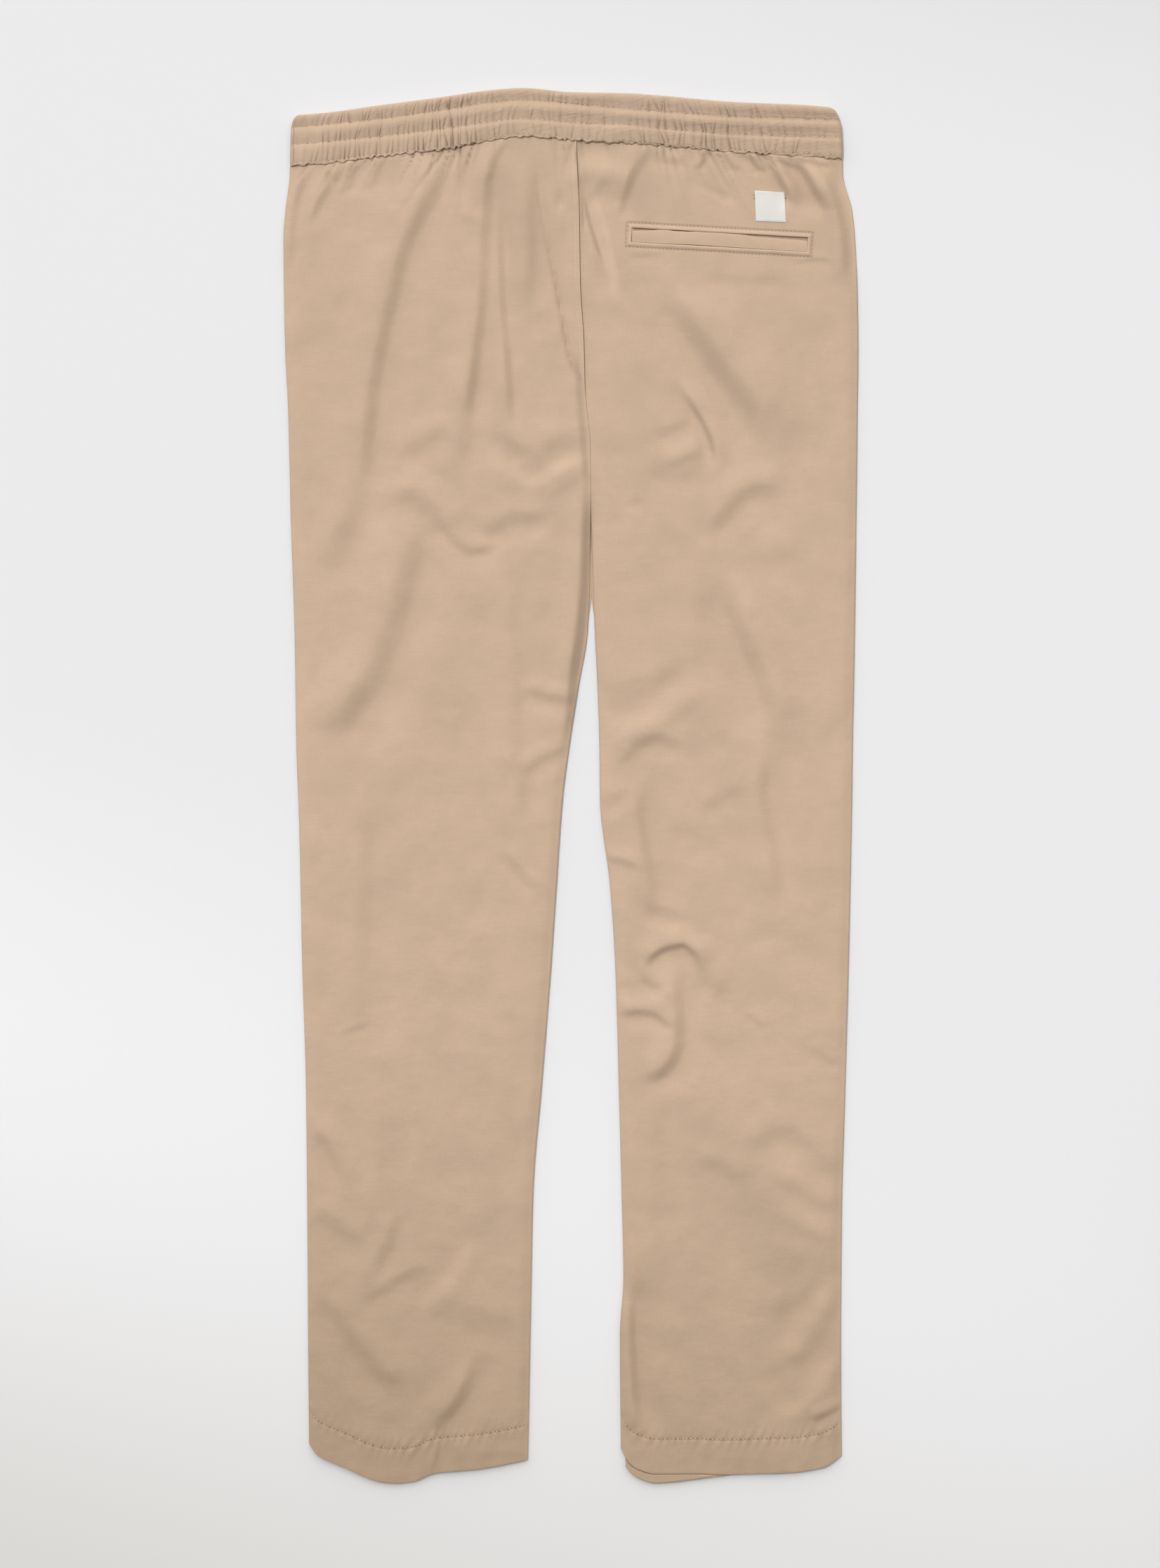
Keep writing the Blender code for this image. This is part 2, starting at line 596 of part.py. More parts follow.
def make_welt(back_tree):
    """The pocket's strip: it lies under the panel, and its lip stands up into the window."""
    lip_end = WINDOW_LENGTH / 2 - WINDOW_CLEARANCE
    lip_foot = -WINDOW_HEIGHT / 2 + WINDOW_CLEARANCE
    folded_edge = WINDOW_HEIGHT / 2 - WELT_MOUTH
    strip_end = WINDOW_LENGTH / 2 + WELT_MARGIN
    along = np.array([-strip_end, -lip_end - WELT_STEP, *np.linspace(-lip_end, lip_end, WELT_COLUMNS),
                      lip_end + WELT_STEP, strip_end])
    across = np.array([-WINDOW_HEIGHT / 2 - WELT_MARGIN, lip_foot - WELT_STEP, lip_foot,
                       (lip_foot + folded_edge) / 2, folded_edge])
    x, down = local_plan(along, across, POCKET_X, POCKET_DOWN, POCKET_TURN)
    seat = surface_of(back_tree, x, down, from_above=False)
    far_along, far_across = np.meshgrid(np.abs(along) > lip_end + 1e-6, across < lip_foot - 1e-6)
    raised = ~(far_along | far_across)
    over = seat - SEAM_GAP + raised * (SEAM_GAP + WELT_LIP)
    under = seat - SEAM_GAP - WELT_WALL + np.zeros_like(over)
    mesh = wall_mesh("back_pocket_welt", to_frame(x, down, over), to_frame(x, down, under))
    return add_object("back_pocket_welt", mesh, TWILL_DARK)


def make_label(back_tree):
    """The blank label, lying on the right back panel."""
    along = np.linspace(-LABEL_WIDTH / 2, LABEL_WIDTH / 2, LABEL_CELLS + 1)
    across = np.linspace(-LABEL_HEIGHT / 2, LABEL_HEIGHT / 2, LABEL_CELLS + 1)
    x, down = local_plan(along, across, LABEL_X, LABEL_DOWN, LABEL_TURN)
    under = surface_of(back_tree, x, down, from_above=True) + SEAM_GAP
    mesh = wall_mesh("label", to_frame(x, down, under + LABEL_WALL), to_frame(x, down, under))
    return add_object("label", mesh, LABEL_WHITE)


def main():
    """Clears the scene and makes the garment's seven pieces."""
    for old in list(bpy.data.objects):
        bpy.data.objects.remove(old, do_unlink=True)
    make_front(FRONT_LEFT)
    make_front(FRONT_RIGHT)
    make_back(BACK_LEFT)
    back_right = make_back(BACK_RIGHT)
    back_tree = tree_of(back_right)
    cut_pocket_window(back_right)
    make_welt(back_tree)
    make_label(back_tree)
    make_waistband()


main()
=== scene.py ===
"""Khaki pull-on trousers laid flat with the back uppermost: their cloth, sewing, label and studio.

Tables and sizes are in millimetres. x runs across the garment from its middle, down runs along it
from its highest point, and z is the height over the surface that it lies on. A mesh gets metres.
"""

import logging
import math
from dataclasses import dataclass
from enum import Enum
from typing import Callable, NamedTuple, Optional, Sequence

import bmesh
import bpy
import numpy as np
from mathutils import Matrix, Vector


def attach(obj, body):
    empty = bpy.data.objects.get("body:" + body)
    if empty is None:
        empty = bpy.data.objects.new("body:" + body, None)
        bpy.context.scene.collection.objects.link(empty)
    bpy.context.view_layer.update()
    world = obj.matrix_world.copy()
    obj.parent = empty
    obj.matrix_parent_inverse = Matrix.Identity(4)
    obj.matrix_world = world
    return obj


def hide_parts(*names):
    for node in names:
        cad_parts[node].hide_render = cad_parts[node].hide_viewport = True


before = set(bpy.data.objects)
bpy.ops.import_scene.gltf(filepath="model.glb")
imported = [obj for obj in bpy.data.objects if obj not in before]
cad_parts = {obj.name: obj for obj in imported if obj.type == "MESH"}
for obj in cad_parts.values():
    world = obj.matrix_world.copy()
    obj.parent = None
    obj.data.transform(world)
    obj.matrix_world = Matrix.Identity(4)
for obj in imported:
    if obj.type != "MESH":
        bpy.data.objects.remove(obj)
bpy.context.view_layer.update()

Array = np.ndarray
Height = Callable[[Array, Array], Array]

LOG = logging.getLogger("trousers")
MM = 0.001
LENGTH = 1111.0  # waist to hems
SEAM_GAP = 0.05  # between two pieces at a seam
HEM_HEIGHT = 28.0  # stitch row to hem edge
CROTCH_DOWN = 325.0  # where the seat seam ends
CROTCH_REACH = 60.0  # below it, over which the legs' inner edges begin to roll under


class Side(Enum):
    """The wearer's side, with the way that x runs from the seat seam to the side."""

    LEFT = -1.0
    RIGHT = 1.0


class SideRow(NamedTuple):
    """The outer edges of the two legs."""

    down: float
    left: float
    right: float


class MiddleRow(NamedTuple):
    """The seat seam, and below the crotch the inner edges of the two legs."""

    down: float
    left: float
    right: float


class BandRow(NamedTuple):
    """The waistband's edges and its three rows of stitching."""

    x: float
    top: float
    row_1: float
    row_2: float
    row_3: float
    bottom: float


class HemRow(NamedTuple):
    """The lower edge of one layer of a leg."""

    x: float
    down: float


class HeightRow(NamedTuple):
    """A height at a place along a line."""

    at: float
    height: float


class GatherRow(NamedTuple):
    """How far apart the elastic's gathers lie, and how deep they are, along the band."""

    x: float
    spacing: float
    depth: float


def rows(kind: type, *values: tuple) -> tuple:
    """Each tuple of values as a named row."""
    return tuple(kind(*value) for value in values)


SIDES = rows(
    SideRow,
    (0.0, -224.0, 216.7),
    (66.0, -224.0, 216.7),
    (97.0, -227.4, 224.0),
    (119.0, -229.0, 226.4),
    (164.0, -228.6, 228.4),
    (210.0, -227.6, 229.0),
    (254.0, -225.4, 228.4),
    (343.0, -223.2, 227.4),
    (433.0, -220.2, 226.2),
    (522.0, -218.8, 224.6),
    (590.0, -216.4, 223.6),
    (702.0, -214.0, 221.2),
    (791.0, -211.2, 218.8),
    (903.0, -210.0, 215.8),
    (1015.0, -209.2, 215.2),
    (1111.0, -208.2, 216.2),
)
MIDDLE = rows(
    MiddleRow,
    (0.0, 4.2, 4.2),
    (46.0, 4.6, 4.6),
    (102.0, 6.7, 6.7),
    (152.0, 7.4, 7.4),
    (204.0, 10.4, 10.4),
    (237.0, 11.2, 11.2),
    (288.0, 15.6, 15.6),
    (325.0, 15.8, 15.8),
    (388.0, 15.4, 17.4),
    (433.0, 13.4, 19.0),
    (478.0, 6.0, 21.2),
    (522.0, -0.8, 22.6),
    (568.0, -6.6, 23.2),
    (634.0, -11.2, 31.0),
    (702.0, -15.8, 35.4),
    (791.0, -22.8, 38.0),
    (881.0, -30.0, 40.4),
    (948.0, -31.4, 41.8),
    (993.0, -32.2, 39.0),
    (1111.0, -34.4, 40.2),
)
BAND = rows(
    BandRow,
    (-224.0, 22.0, 32.0, 45.4, 60.3, 62.7),
    (-196.0, 19.8, 29.4, 43.2, 58.4, 61.2),
    (-156.0, 14.3, 25.4, 39.2, 53.2, 56.0),
    (-96.0, 6.3, 16.8, 31.7, 46.6, 49.2),
    (-70.0, 2.4, 12.4, 28.0, 41.2, 43.8),
    (-38.0, 0.0, 10.0, 24.6, 36.8, 39.4),
    (1.0, 3.4, 12.7, 27.6, 39.9, 42.5),
    (44.0, 4.2, 16.6, 29.2, 42.2, 44.8),
    (68.0, 5.8, 18.4, 31.8, 43.9, 46.5),
    (131.0, 11.2, 22.9, 36.5, 49.3, 52.0),
    (186.0, 13.6, 24.6, 38.4, 52.0, 55.4),
    (216.7, 16.4, 25.4, 39.2, 53.4, 57.2),
)
BAND_EDGES = ("top", "row_1", "row_2", "row_3", "bottom")
BAND_END_LEFT = rows(HeightRow, (0.0, 6.5), (0.15, 4.4), (0.4, 2.7), (1.0, 1.2), (2.0, 0.6), (3.0, 0.4), (4.0, 0.8))
BAND_END_RIGHT = rows(HeightRow, (0.0, 10.0), (0.2, 6.5), (0.5, 4.6), (1.0, 2.6), (1.6, 1.0), (3.0, 0.4), (4.0, 0.8))
HEM_LEFT = rows(
    HemRow,
    (-209.0, 1079.0),
    (-202.0, 1088.5),
    (-189.0, 1095.0),
    (-175.0, 1101.0),
    (-162.0, 1107.0),
    (-148.0, 1110.6),
    (-138.0, 1111.0),
    (-126.0, 1109.8),
    (-108.0, 1103.0),
    (-74.0, 1099.8),
    (-34.0, 1092.4),
)
HEM_RIGHT_FRONT = rows(
    HemRow,
    (40.0, 1091.0),
    (46.5, 1101.5),
    (53.0, 1106.8),
    (67.0, 1111.0),
    (80.0, 1110.2),
    (100.0, 1107.7),
    (120.0, 1105.2),
    (150.0, 1102.9),
    (174.0, 1101.9),
    (201.0, 1097.9),
    (216.0, 1088.4),
)
HEM_RIGHT_BACK = rows(
    HemRow,
    (40.0, 1084.0),
    (46.5, 1095.0),
    (53.0, 1099.6),
    (67.0, 1103.4),
    (80.0, 1103.4),
    (100.0, 1103.2),
    (120.0, 1104.2),
    (150.0, 1103.3),
    (174.0, 1102.6),
    (201.0, 1098.5),
    (216.0, 1089.0),
)
LOFTS = rows(
    HeightRow,
    (36.0, 2.6),
    (72.0, 3.2),
    (150.0, 3.7),
    (300.0, 3.8),
    (430.0, 3.6),
    (700.0, 3.3),
    (950.0, 3.2),
    (1040.0, 2.7),
    (1085.0, 1.4),
    (1111.0, 0.4),
)


# ---------------------------------------------------------------- curves

def smooth_step(t: Array) -> Array:
    """0 below 0, 1 above 1, and 3t^2 - 2t^3 between them."""
    t = np.clip(t, 0.0, 1.0)
    return t * t * (3.0 - 2.0 * t)


def bell(t: Array) -> Array:
    """A soft bump, e^(-t^2)."""
    return np.exp(-np.square(t))


def curve(at: Array, stations: Sequence[float], values: Sequence[float]) -> Array:
    """A smooth line through given values, flat where they turn.

    Cubic Hermite pieces whose slope at a station is the harmonic mean of the slopes beside it, or 0
    where those differ in sign.

    Args:
        at: where to read the line.
        stations: the rising places of the values.
        values: the line's value at each station.

    Returns:
        The line's value at each place.
    """
    stations = np.asarray(stations, float)
    values = np.asarray(values, float)
    at = np.clip(np.asarray(at, float), stations[0], stations[-1])
    spans = np.diff(stations)
    slopes = np.diff(values) / spans
    tangents = np.zeros_like(values)
    tangents[0], tangents[-1] = slopes[0], slopes[-1]
    before, after = slopes[:-1], slopes[1:]
    same_way = before * after > 0.0
    tangents[1:-1][same_way] = (2.0 * before * after)[same_way] / (before + after)[same_way]
    k = np.clip(np.searchsorted(stations, at, side="right") - 1, 0, len(spans) - 1)
    t = (at - stations[k]) / spans[k]
    return (
        values[k] * (1.0 + 2.0 * t) * (1.0 - t) ** 2
        + tangents[k] * spans[k] * t * (1.0 - t) ** 2
        + values[k + 1] * t * t * (3.0 - 2.0 * t)
        + tangents[k + 1] * spans[k] * t * t * (t - 1.0)
    )


def column(table: tuple, at_name: str, value_name: str, at: Array) -> Array:
    """One named column of a table, read as a smooth line over another."""
    return curve(at, [getattr(row, at_name) for row in table], [getattr(row, value_name) for row in table])


def band_edge(name: str, x: Array) -> Array:
    """How far down one of the waistband's edges or stitch rows runs at x."""
    return column(BAND, "x", name, x)


def stretches(*parts: tuple[float, float, float]) -> Array:
    """Rising stations in joined stretches, each given as (start, end, greatest spacing)."""
    pieces = []
    for start, end, spacing in parts:
        count = max(1, math.ceil((end - start) / spacing))
        pieces.append(np.linspace(start, end, count + 1)[:-1])
    return np.concatenate([*pieces, [parts[-1][1]]])


def to_frame(x: Array, down: Array, z: Array) -> Array:
    """Points in metres from x, down and z in millimetres."""
    x, down, z = np.broadcast_arrays(x, down, z)
    return np.stack([x, LENGTH / 2 - down, z], axis=-1) * MM


# ---------------------------------------------------------------- creases and gathers

@dataclass(frozen=True)
class Crease:
    """One fold of the cloth, given by the line of its steepest slope.

    The cloth falls by `drop` across that line, towards the photo's right of a path that runs down
    and towards the hem of one that runs from right to left, and it rises where the drop is under
    zero. It comes back to its level within `reach` on both sides, `before` being the share of the
    drop that it stands higher before the line. A reach of zero makes an even trough instead.
    """

    place: str
    drop: float
    half_width: float
    path: tuple[tuple[float, float], ...]
    reach: float = 14.0
    before: float = 0.5
    taper: float = 0.25
    steps: int = 5

    def line(self) -> Array:
        """The line as short straight pieces of a smooth curve through the path's points."""
        points = np.asarray(self.path, float)
        stations = np.arange(len(points))
        at = np.linspace(0.0, len(points) - 1.0, (len(points) - 1) * self.steps + 1)
        return np.column_stack([curve(at, stations, points[:, 0]), curve(at, stations, points[:, 1])])

    def section(self, aside: Array) -> Array:
        """The height added at a distance from the line, over zero on the side that it falls to."""
        if not self.reach:
            share = np.clip(np.abs(aside) / self.half_width, 0.0, 1.0)
            return -self.drop * (1.0 - share * share) ** 2
        fallen = smooth_step((aside / self.half_width + 1.0) / 2.0)
        faded = 1.0 - smooth_step((np.abs(aside) - self.half_width) / self.reach)
        return self.drop * (self.before - fallen) * faded

    def rise(self, x: Array, down: Array) -> Array:
        """What the crease adds to the cloth's height: its section, tapered towards both ends.

        Args:
            x: places across the garment.
            down: places along it.

        Returns:
            The height added at each place.
        """
        line = self.line()
        starts, runs = line[:-1], np.diff(line, axis=0)
        lengths = np.hypot(runs[:, 0], runs[:, 1])
        reached = np.concatenate([[0.0], np.cumsum(lengths)[:-1]])
        far = self.half_width + self.reach
        low, high = line.min(axis=0) - far, line.max(axis=0) + far
        near = (x > low[0]) & (x < high[0]) & (down > low[1]) & (down < high[1])
        added = np.zeros(np.shape(x))
        if not near.any():
            return added
        px, pd = x[near], down[near]
        nearest = np.full(px.shape, np.inf)
        share = np.zeros(px.shape)
        side = np.zeros(px.shape)
        for start, run, length, so_far in zip(starts, runs, lengths, reached):
            dx, dd = px - start[0], pd - start[1]
            along = np.clip((dx * run[0] + dd * run[1]) / length**2, 0.0, 1.0)
            away = np.hypot(dx - along * run[0], dd - along * run[1])
            closer = away < nearest
            nearest = np.where(closer, away, nearest)
            share = np.where(closer, (so_far + along * length) / lengths.sum(), share)
            side = np.where(closer, np.sign(dx * run[1] - dd * run[0]), side)
        ends = smooth_step(np.minimum(share, 1.0 - share) / self.taper)
        added[near] = ends * self.section(nearest * side)
        return added


SEAT_CREASES = rows(
    Crease,
    ("left, long", 5.7, 7.5, ((-101, 44), (-107, 78), (-118, 100), (-134, 138), (-140, 162),
                              (-148, 196), (-155, 234), (-159, 263), (-161, 289), (-165, 325)),
     31, 0.5, 0.14),
    ("left, long, foot", 3.2, 10.0, ((-162, 285), (-167, 325), (-182, 360), (-202, 402)), 23, 0.5, 0.35),
    ("left, middle", 4.7, 5.5, ((-60, 50), (-65, 75), (-67, 106), (-68, 150), (-71, 184), (-75, 214),
                                (-79, 244), (-82, 274)), 20, 0.5, 0.15),
    ("left, middle, foot", 2.4, 8.5, ((-74, 205), (-78, 235), (-82, 262), (-86, 289), (-93, 318)),
     20, 0.5, 0.3),
    ("left, inner", 4.1, 4.0, ((-56, 80), (-55, 145), (-53, 187), (-50, 220), (-46, 285)), 13),
    ("left, short", 3.4, 6.5, ((-32, 46), (-31, 90), (-31, 130), (-30, 182)), 17),
    ("left, short, foot", 0.8, 6.0, ((-10, 177), (-25, 183), (-36, 190), (-50, 203)), 12),
    ("seam allowance", 2.6, 2.8, ((-28, 64), (-18, 127), (-12, 155), (-6, 187), (-1, 213), (9, 243)),
     0, 0.5, 0.1),
    ("left, dimple", 1.8, 4.0, ((-9, 78), (-9, 103)), 0, 0.5, 0.5),
    ("left, wedge", 2.9, 4.5, ((-88, 50), (-86, 75), (-81, 92), (-74, 110)), 12),
    ("left, top", 2.0, 3.4, ((-50, 40), (-57, 51), (-62, 62), (-65, 80)), 10),
    ("middle, V", -3.0, 6.0, ((14, 289), (-4, 299), (-14, 305), (-30, 313), (-42, 308), (-54, 298),
                              (-66, 286)), 17),
    ("middle, shade 1", 1.9, 6.0, ((-34, 296), (-45, 286), (-60, 272)), 12),
    ("middle, shade 2", 1.6, 8.0, ((14, 284), (-8, 283), (-28, 288)), 14),
    ("left, tongue", 2.2, 7.5, ((-92, 270), (-108, 278), (-120, 284), (-138, 296)), 17),
    ("crotch, edge", 2.2, 4.5, ((-54, 362), (-69, 368), (-79, 369), (-89, 364), (-97, 354), (-110, 340)),
     16),
    ("crotch, shoulder", 3.5, 9.0, ((-90, 356), (-106, 342), (-120, 331), (-144, 318)), 18, 0.65),
    ("crotch, wing", 2.7, 7.0, ((-14, 346), (-36, 343), (-48, 344), (-58, 349), (-78, 356)), 16),
    ("seam, wedge", 2.9, 4.0, ((4, 58), (9, 84), (16, 110), (26, 148)), 8, 0.5, 0.2),
    ("seam, crest", -1.8, 4.5, ((9, 66), (14, 84), (22, 108), (28, 132), (35, 166)), 10, 0.5, 0.15),
    ("right, cheek", -2.9, 9.0, ((42, 54), (24, 58), (2, 57)), 13),
    ("right, cheek's shade", 3.8, 9.0, ((52, 84), (34, 82), (16, 76)), 16),
    ("right, gather", 3.2, 4.5, ((65, 42), (59, 55), (50, 69), (44, 86), (39, 108)), 18, 0.5, 0.2),
    ("right, broad", -8.0, 12.0, ((58, 126), (72, 160), (88, 184), (102, 202), (116, 222), (132, 242),
                                  (144, 260), (154, 278), (168, 304)), 36, 0.42, 0.35),
    ("right, sharp", -5.3, 4.5, ((82, 228), (90, 243), (99, 257), (107, 271), (113, 286), (117, 308)),
     13, 0.6, 0.3),
    ("right, lobe", -2.5, 9.0, ((106, 276), (92, 281), (68, 290)), 9),
    ("right, lobe's shade", 2.1, 10.0, ((110, 294), (98, 301), (84, 305), (54, 303)), 16),
    ("right, sag", 2.7, 7.0, ((172, 324), (150, 320), (140, 323), (131, 331), (122, 341), (113, 347),
                              (98, 342)), 17),
    ("right, dimple 1", 1.1, 8.0, ((44, 330), (62, 335)), 0, 0.5, 0.5),
    ("right, patch", 1.6, 9.0, ((184, 376), (164, 373), (144, 369)), 18, 0.5, 0.4),
    ("crotch, fall", 3.4, 6.0, ((12, 300), (12, 345), (11, 390), (7, 430), (1, 470), (-4, 500)), 12, 0.3),
)
WAIST_CREASES = rows(
    Crease,
    ("right 1", -7.7, 3.2, ((151, 48), (160, 63), (166, 74), (172, 84), (178, 98)), 12, 0.5, 0.35),
    ("right 2", -8.1, 3.8, ((172, 48), (183, 64), (190, 76), (196, 87), (206, 102)), 13, 0.5, 0.35),
    ("right 3", 2.4, 2.2, ((111, 46), (106, 56), (101, 67)), 6),
    ("right 4", -2.3, 2.4, ((118, 49), (132, 68)), 6),
    ("right 5", -4.5, 2.4, ((137, 50), (146, 60), (153, 69)), 6),
    ("right 6", -2.9, 2.2, ((161, 55), (171, 60), (182, 67)), 6),
    ("right 7", 1.9, 2.4, ((208, 63), (194, 60), (178, 56)), 6),
    ("right 8", 1.3, 3.0, ((92, 60), (76, 58), (62, 53)), 8),
    ("right 9", 1.4, 3.2, ((89, 46), (92, 65), (95, 88)), 9),
    ("right 10", 0.8, 6.0, ((102, 77), (117, 85), (131, 90)), 0),
    ("right side", 7.2, 5.5, ((199, 54), (208, 76), (214, 96), (218, 118), (221, 160)), 12),
    ("left 1", 2.0, 4.0, ((-194, 64), (-190, 82)), 0, 0.5, 0.5),
    ("left 2", 2.3, 3.4, ((-180, 60), (-190, 76), (-200, 92), (-207, 112)), 12),
    ("left 3", 2.9, 4.0, ((-208, 62), (-217, 84), (-222, 112), (-224, 150)), 12),
    ("left 4", 2.2, 3.0, ((-168, 58), (-174, 70), (-180, 86)), 9),
    ("left 5", 1.4, 3.0, ((-148, 56), (-154, 68), (-158, 82)), 9),
    ("under the pocket 1", 0.8, 2.2, ((76, 133), (60, 133), (44, 134)), 8),
    ("under the pocket 2", 0.8, 5.0, ((176, 154), (138, 152), (100, 150)), 12),
    ("under the pocket 3", 0.8, 2.2, ((210, 137), (192, 137), (176, 140)), 6),
)
LEFT_LEG_CREASES = rows(
    Crease,
    ("thigh, great", 6.2, 12.0, ((-122, 340), (-128, 384), (-132, 402), (-137, 420), (-143, 440),
                                 (-149, 456), (-157, 473), (-168, 489), (-181, 504), (-200, 522)),
     31, 0.68, 0.2),
    ("thigh, inner", 2.2, 7.0, ((-48, 360), (-45, 420), (-43, 480), (-41, 530), (-38, 590)), 26),
    ("thigh, tick 1", 2.4, 5.0, ((6, 491), (-12, 486), (-22, 484), (-40, 477)), 12),
    ("thigh, tick 2", 2.0, 5.0, ((2, 524), (-14, 531), (-26, 537), (-38, 549)), 12),
    ("thigh, patch", 1.8, 6.0, ((-40, 540), (-38, 560), (-34, 584)), 10, 0.5, 0.4),
    ("knee", 2.7, 8.5, ((-162, 545), (-162, 600), (-163, 650), (-166, 690), (-167, 760)), 31),
    ("knee, tick", 0.8, 2.4, ((-160, 745), (-172, 749), (-184, 752)), 8),
    ("knee, spot", -2.1, 4.5, ((-54, 606), (-41, 624), (-26, 642)), 10),
    ("calf, side 1", 3.6, 5.5, ((-176, 880), (-183, 866), (-190, 850), (-197, 837), (-214, 830)),
     18, 0.5, 0.4),
    ("calf, side 2", 2.1, 7.0, ((-160, 920), (-178, 912), (-188, 904), (-208, 892)), 16),
    ("shin, soft", 1.8, 8.5, ((-152, 810), (-148, 865), (-144, 920)), 21),
    ("shin, upright", 2.0, 5.5, ((-138, 892), (-142, 914), (-148, 927), (-154, 940), (-158, 958)), 14),
    ("shin, sharp", 1.9, 5.5, ((-106, 938), (-124, 943), (-139, 950), (-148, 955), (-158, 961),
                               (-170, 975)), 18, 0.4, 0.35),
    ("shin, slope", 3.8, 8.5, ((-130, 1037), (-148, 1028), (-160, 1016), (-172, 1000), (-184, 983),
                               (-200, 958)), 23, 0.5, 0.2),
    ("ankle, level", 1.7, 11.0, ((-38, 990), (-68, 982), (-90, 975), (-120, 968)), 18),
    ("ankle, crest", -1.5, 6.0, ((-74, 912), (-90, 938), (-102, 954), (-120, 976)), 14),
    ("hem, curved", 5.1, 6.5, ((-73, 1002), (-77, 1018), (-81, 1030), (-87, 1043), (-95, 1054),
                               (-106, 1065), (-122, 1078)), 20, 0.6, 0.4),
    ("hem, tick", 2.5, 2.4, ((-108, 1064), (-105, 1083), (-107, 1092), (-112, 1108)), 10),
    ("hem, level", 0.6, 2.4, ((-30, 1089), (-55, 1088), (-80, 1092)), 8),
)
RIGHT_LEG_CREASES = rows(
    Crease,
    ("thigh, crescent", 2.5, 6.0, ((94, 532), (84, 523), (70, 518), (58, 521), (48, 530), (36, 543)),
     17, 0.55),
    ("thigh, crest", -2.7, 9.0, ((102, 462), (80, 486), (62, 498), (24, 512)), 14),
    ("thigh, shade", 1.0, 7.0, ((92, 462), (62, 472), (40, 480), (18, 486)), 14),
    ("thigh, long", -8.8, 10.0, ((120, 380), (131, 424), (139, 444), (147, 462), (152, 478),
                                 (156, 496), (158, 526)), 26, 0.5, 0.3),
    ("thigh, low", 4.3, 7.0, ((156, 520), (153, 550), (156, 575), (160, 598), (164, 620), (170, 656)), 23),
    ("thigh, tick", 1.3, 6.0, ((142, 556), (126, 562), (116, 567), (100, 575)), 13),
    ("thigh, dimple", 1.0, 15.0, ((84, 582), (96, 602), (104, 622)), 0, 0.5, 0.4),
    ("edge, tick 1", 1.5, 5.5, ((50, 558), (34, 566), (18, 574)), 12),
    ("edge, tick 2", 1.9, 3.4, ((56, 622), (42, 616), (34, 615), (18, 612)), 13),
    ("knee, long", 4.1, 6.0, ((53, 550), (57, 585), (60, 605), (64, 628), (72, 660)), 18),
    ("knee, hollow", 1.5, 11.0, ((54, 657), (70, 661), (90, 668)), 0, 0.5, 0.35),
    ("knee, crescent", 4.2, 3.2, ((103, 702), (97, 689), (88, 683), (77, 685), (68, 690), (56, 701)), 17),
    ("knee, tail", -3.8, 7.0, ((90, 676), (100, 694), (108, 708), (116, 726)), 16),
    ("knee, C", 1.6, 3.4, ((78, 717), (64, 714), (57, 708), (52, 692)), 10),
    ("calf, crest", -1.8, 7.0, ((80, 718), (62, 724), (48, 725), (30, 722)), 12),
    ("calf, arch", 2.2, 3.2, ((84, 752), (74, 743), (64, 737), (52, 736), (34, 738)), 14),
    ("calf, hook", 4.5, 6.0, ((83, 700), (87, 735), (87, 757), (84, 769), (78, 779), (69, 786),
                              (52, 790)), 20, 0.6, 0.2),
    ("calf, long", 2.1, 8.5, ((66, 786), (69, 830), (70, 880), (72, 970)), 23),
    ("calf, tick 1", 1.0, 3.0, ((156, 749), (138, 736)), 10),
    ("calf, tick 2", 1.1, 4.0, ((216, 779), (203, 772), (188, 763)), 12),
    ("knee, patch", 1.0, 9.0, ((170, 674), (148, 670), (128, 668)), 18, 0.5, 0.4),
    ("shin, arch", 2.2, 8.0, ((220, 872), (203, 858), (195, 849), (184, 838), (173, 832), (163, 832),
                              (152, 838), (130, 844)), 20, 0.3),
    ("shin, fold", 1.4, 6.5, ((218, 897), (195, 886), (179, 877), (154, 869)), 16),
    ("shin, tick 1", 1.4, 6.0, ((140, 873), (124, 862), (114, 857), (96, 856)), 14),
    ("shin, tick 2", 1.3, 6.0, ((206, 922), (184, 910), (162, 894)), 14),
    ("ankle 1", 1.5, 7.0, ((204, 942), (190, 958), (179, 967), (156, 975)), 14),
    ("ankle 2", 3.3, 8.0, ((212, 950), (204, 980), (196, 995), (186, 1007), (162, 1024)), 17),
    ("ankle, crest", -1.8, 7.0, ((220, 1000), (200, 1026), (186, 1042), (162, 1062)), 14),
    ("ankle, hollow", 1.9, 14.0, ((150, 1016), (166, 1038), (174, 1058)), 0, 0.5, 0.4),
    ("ankle, inner", 6.7, 6.0, ((47, 945), (49, 1000), (53, 1045), (64, 1078)), 16),
    ("hem, nick", 2.2, 3.2, ((220, 1048), (206, 1054), (190, 1062)), 9),
)
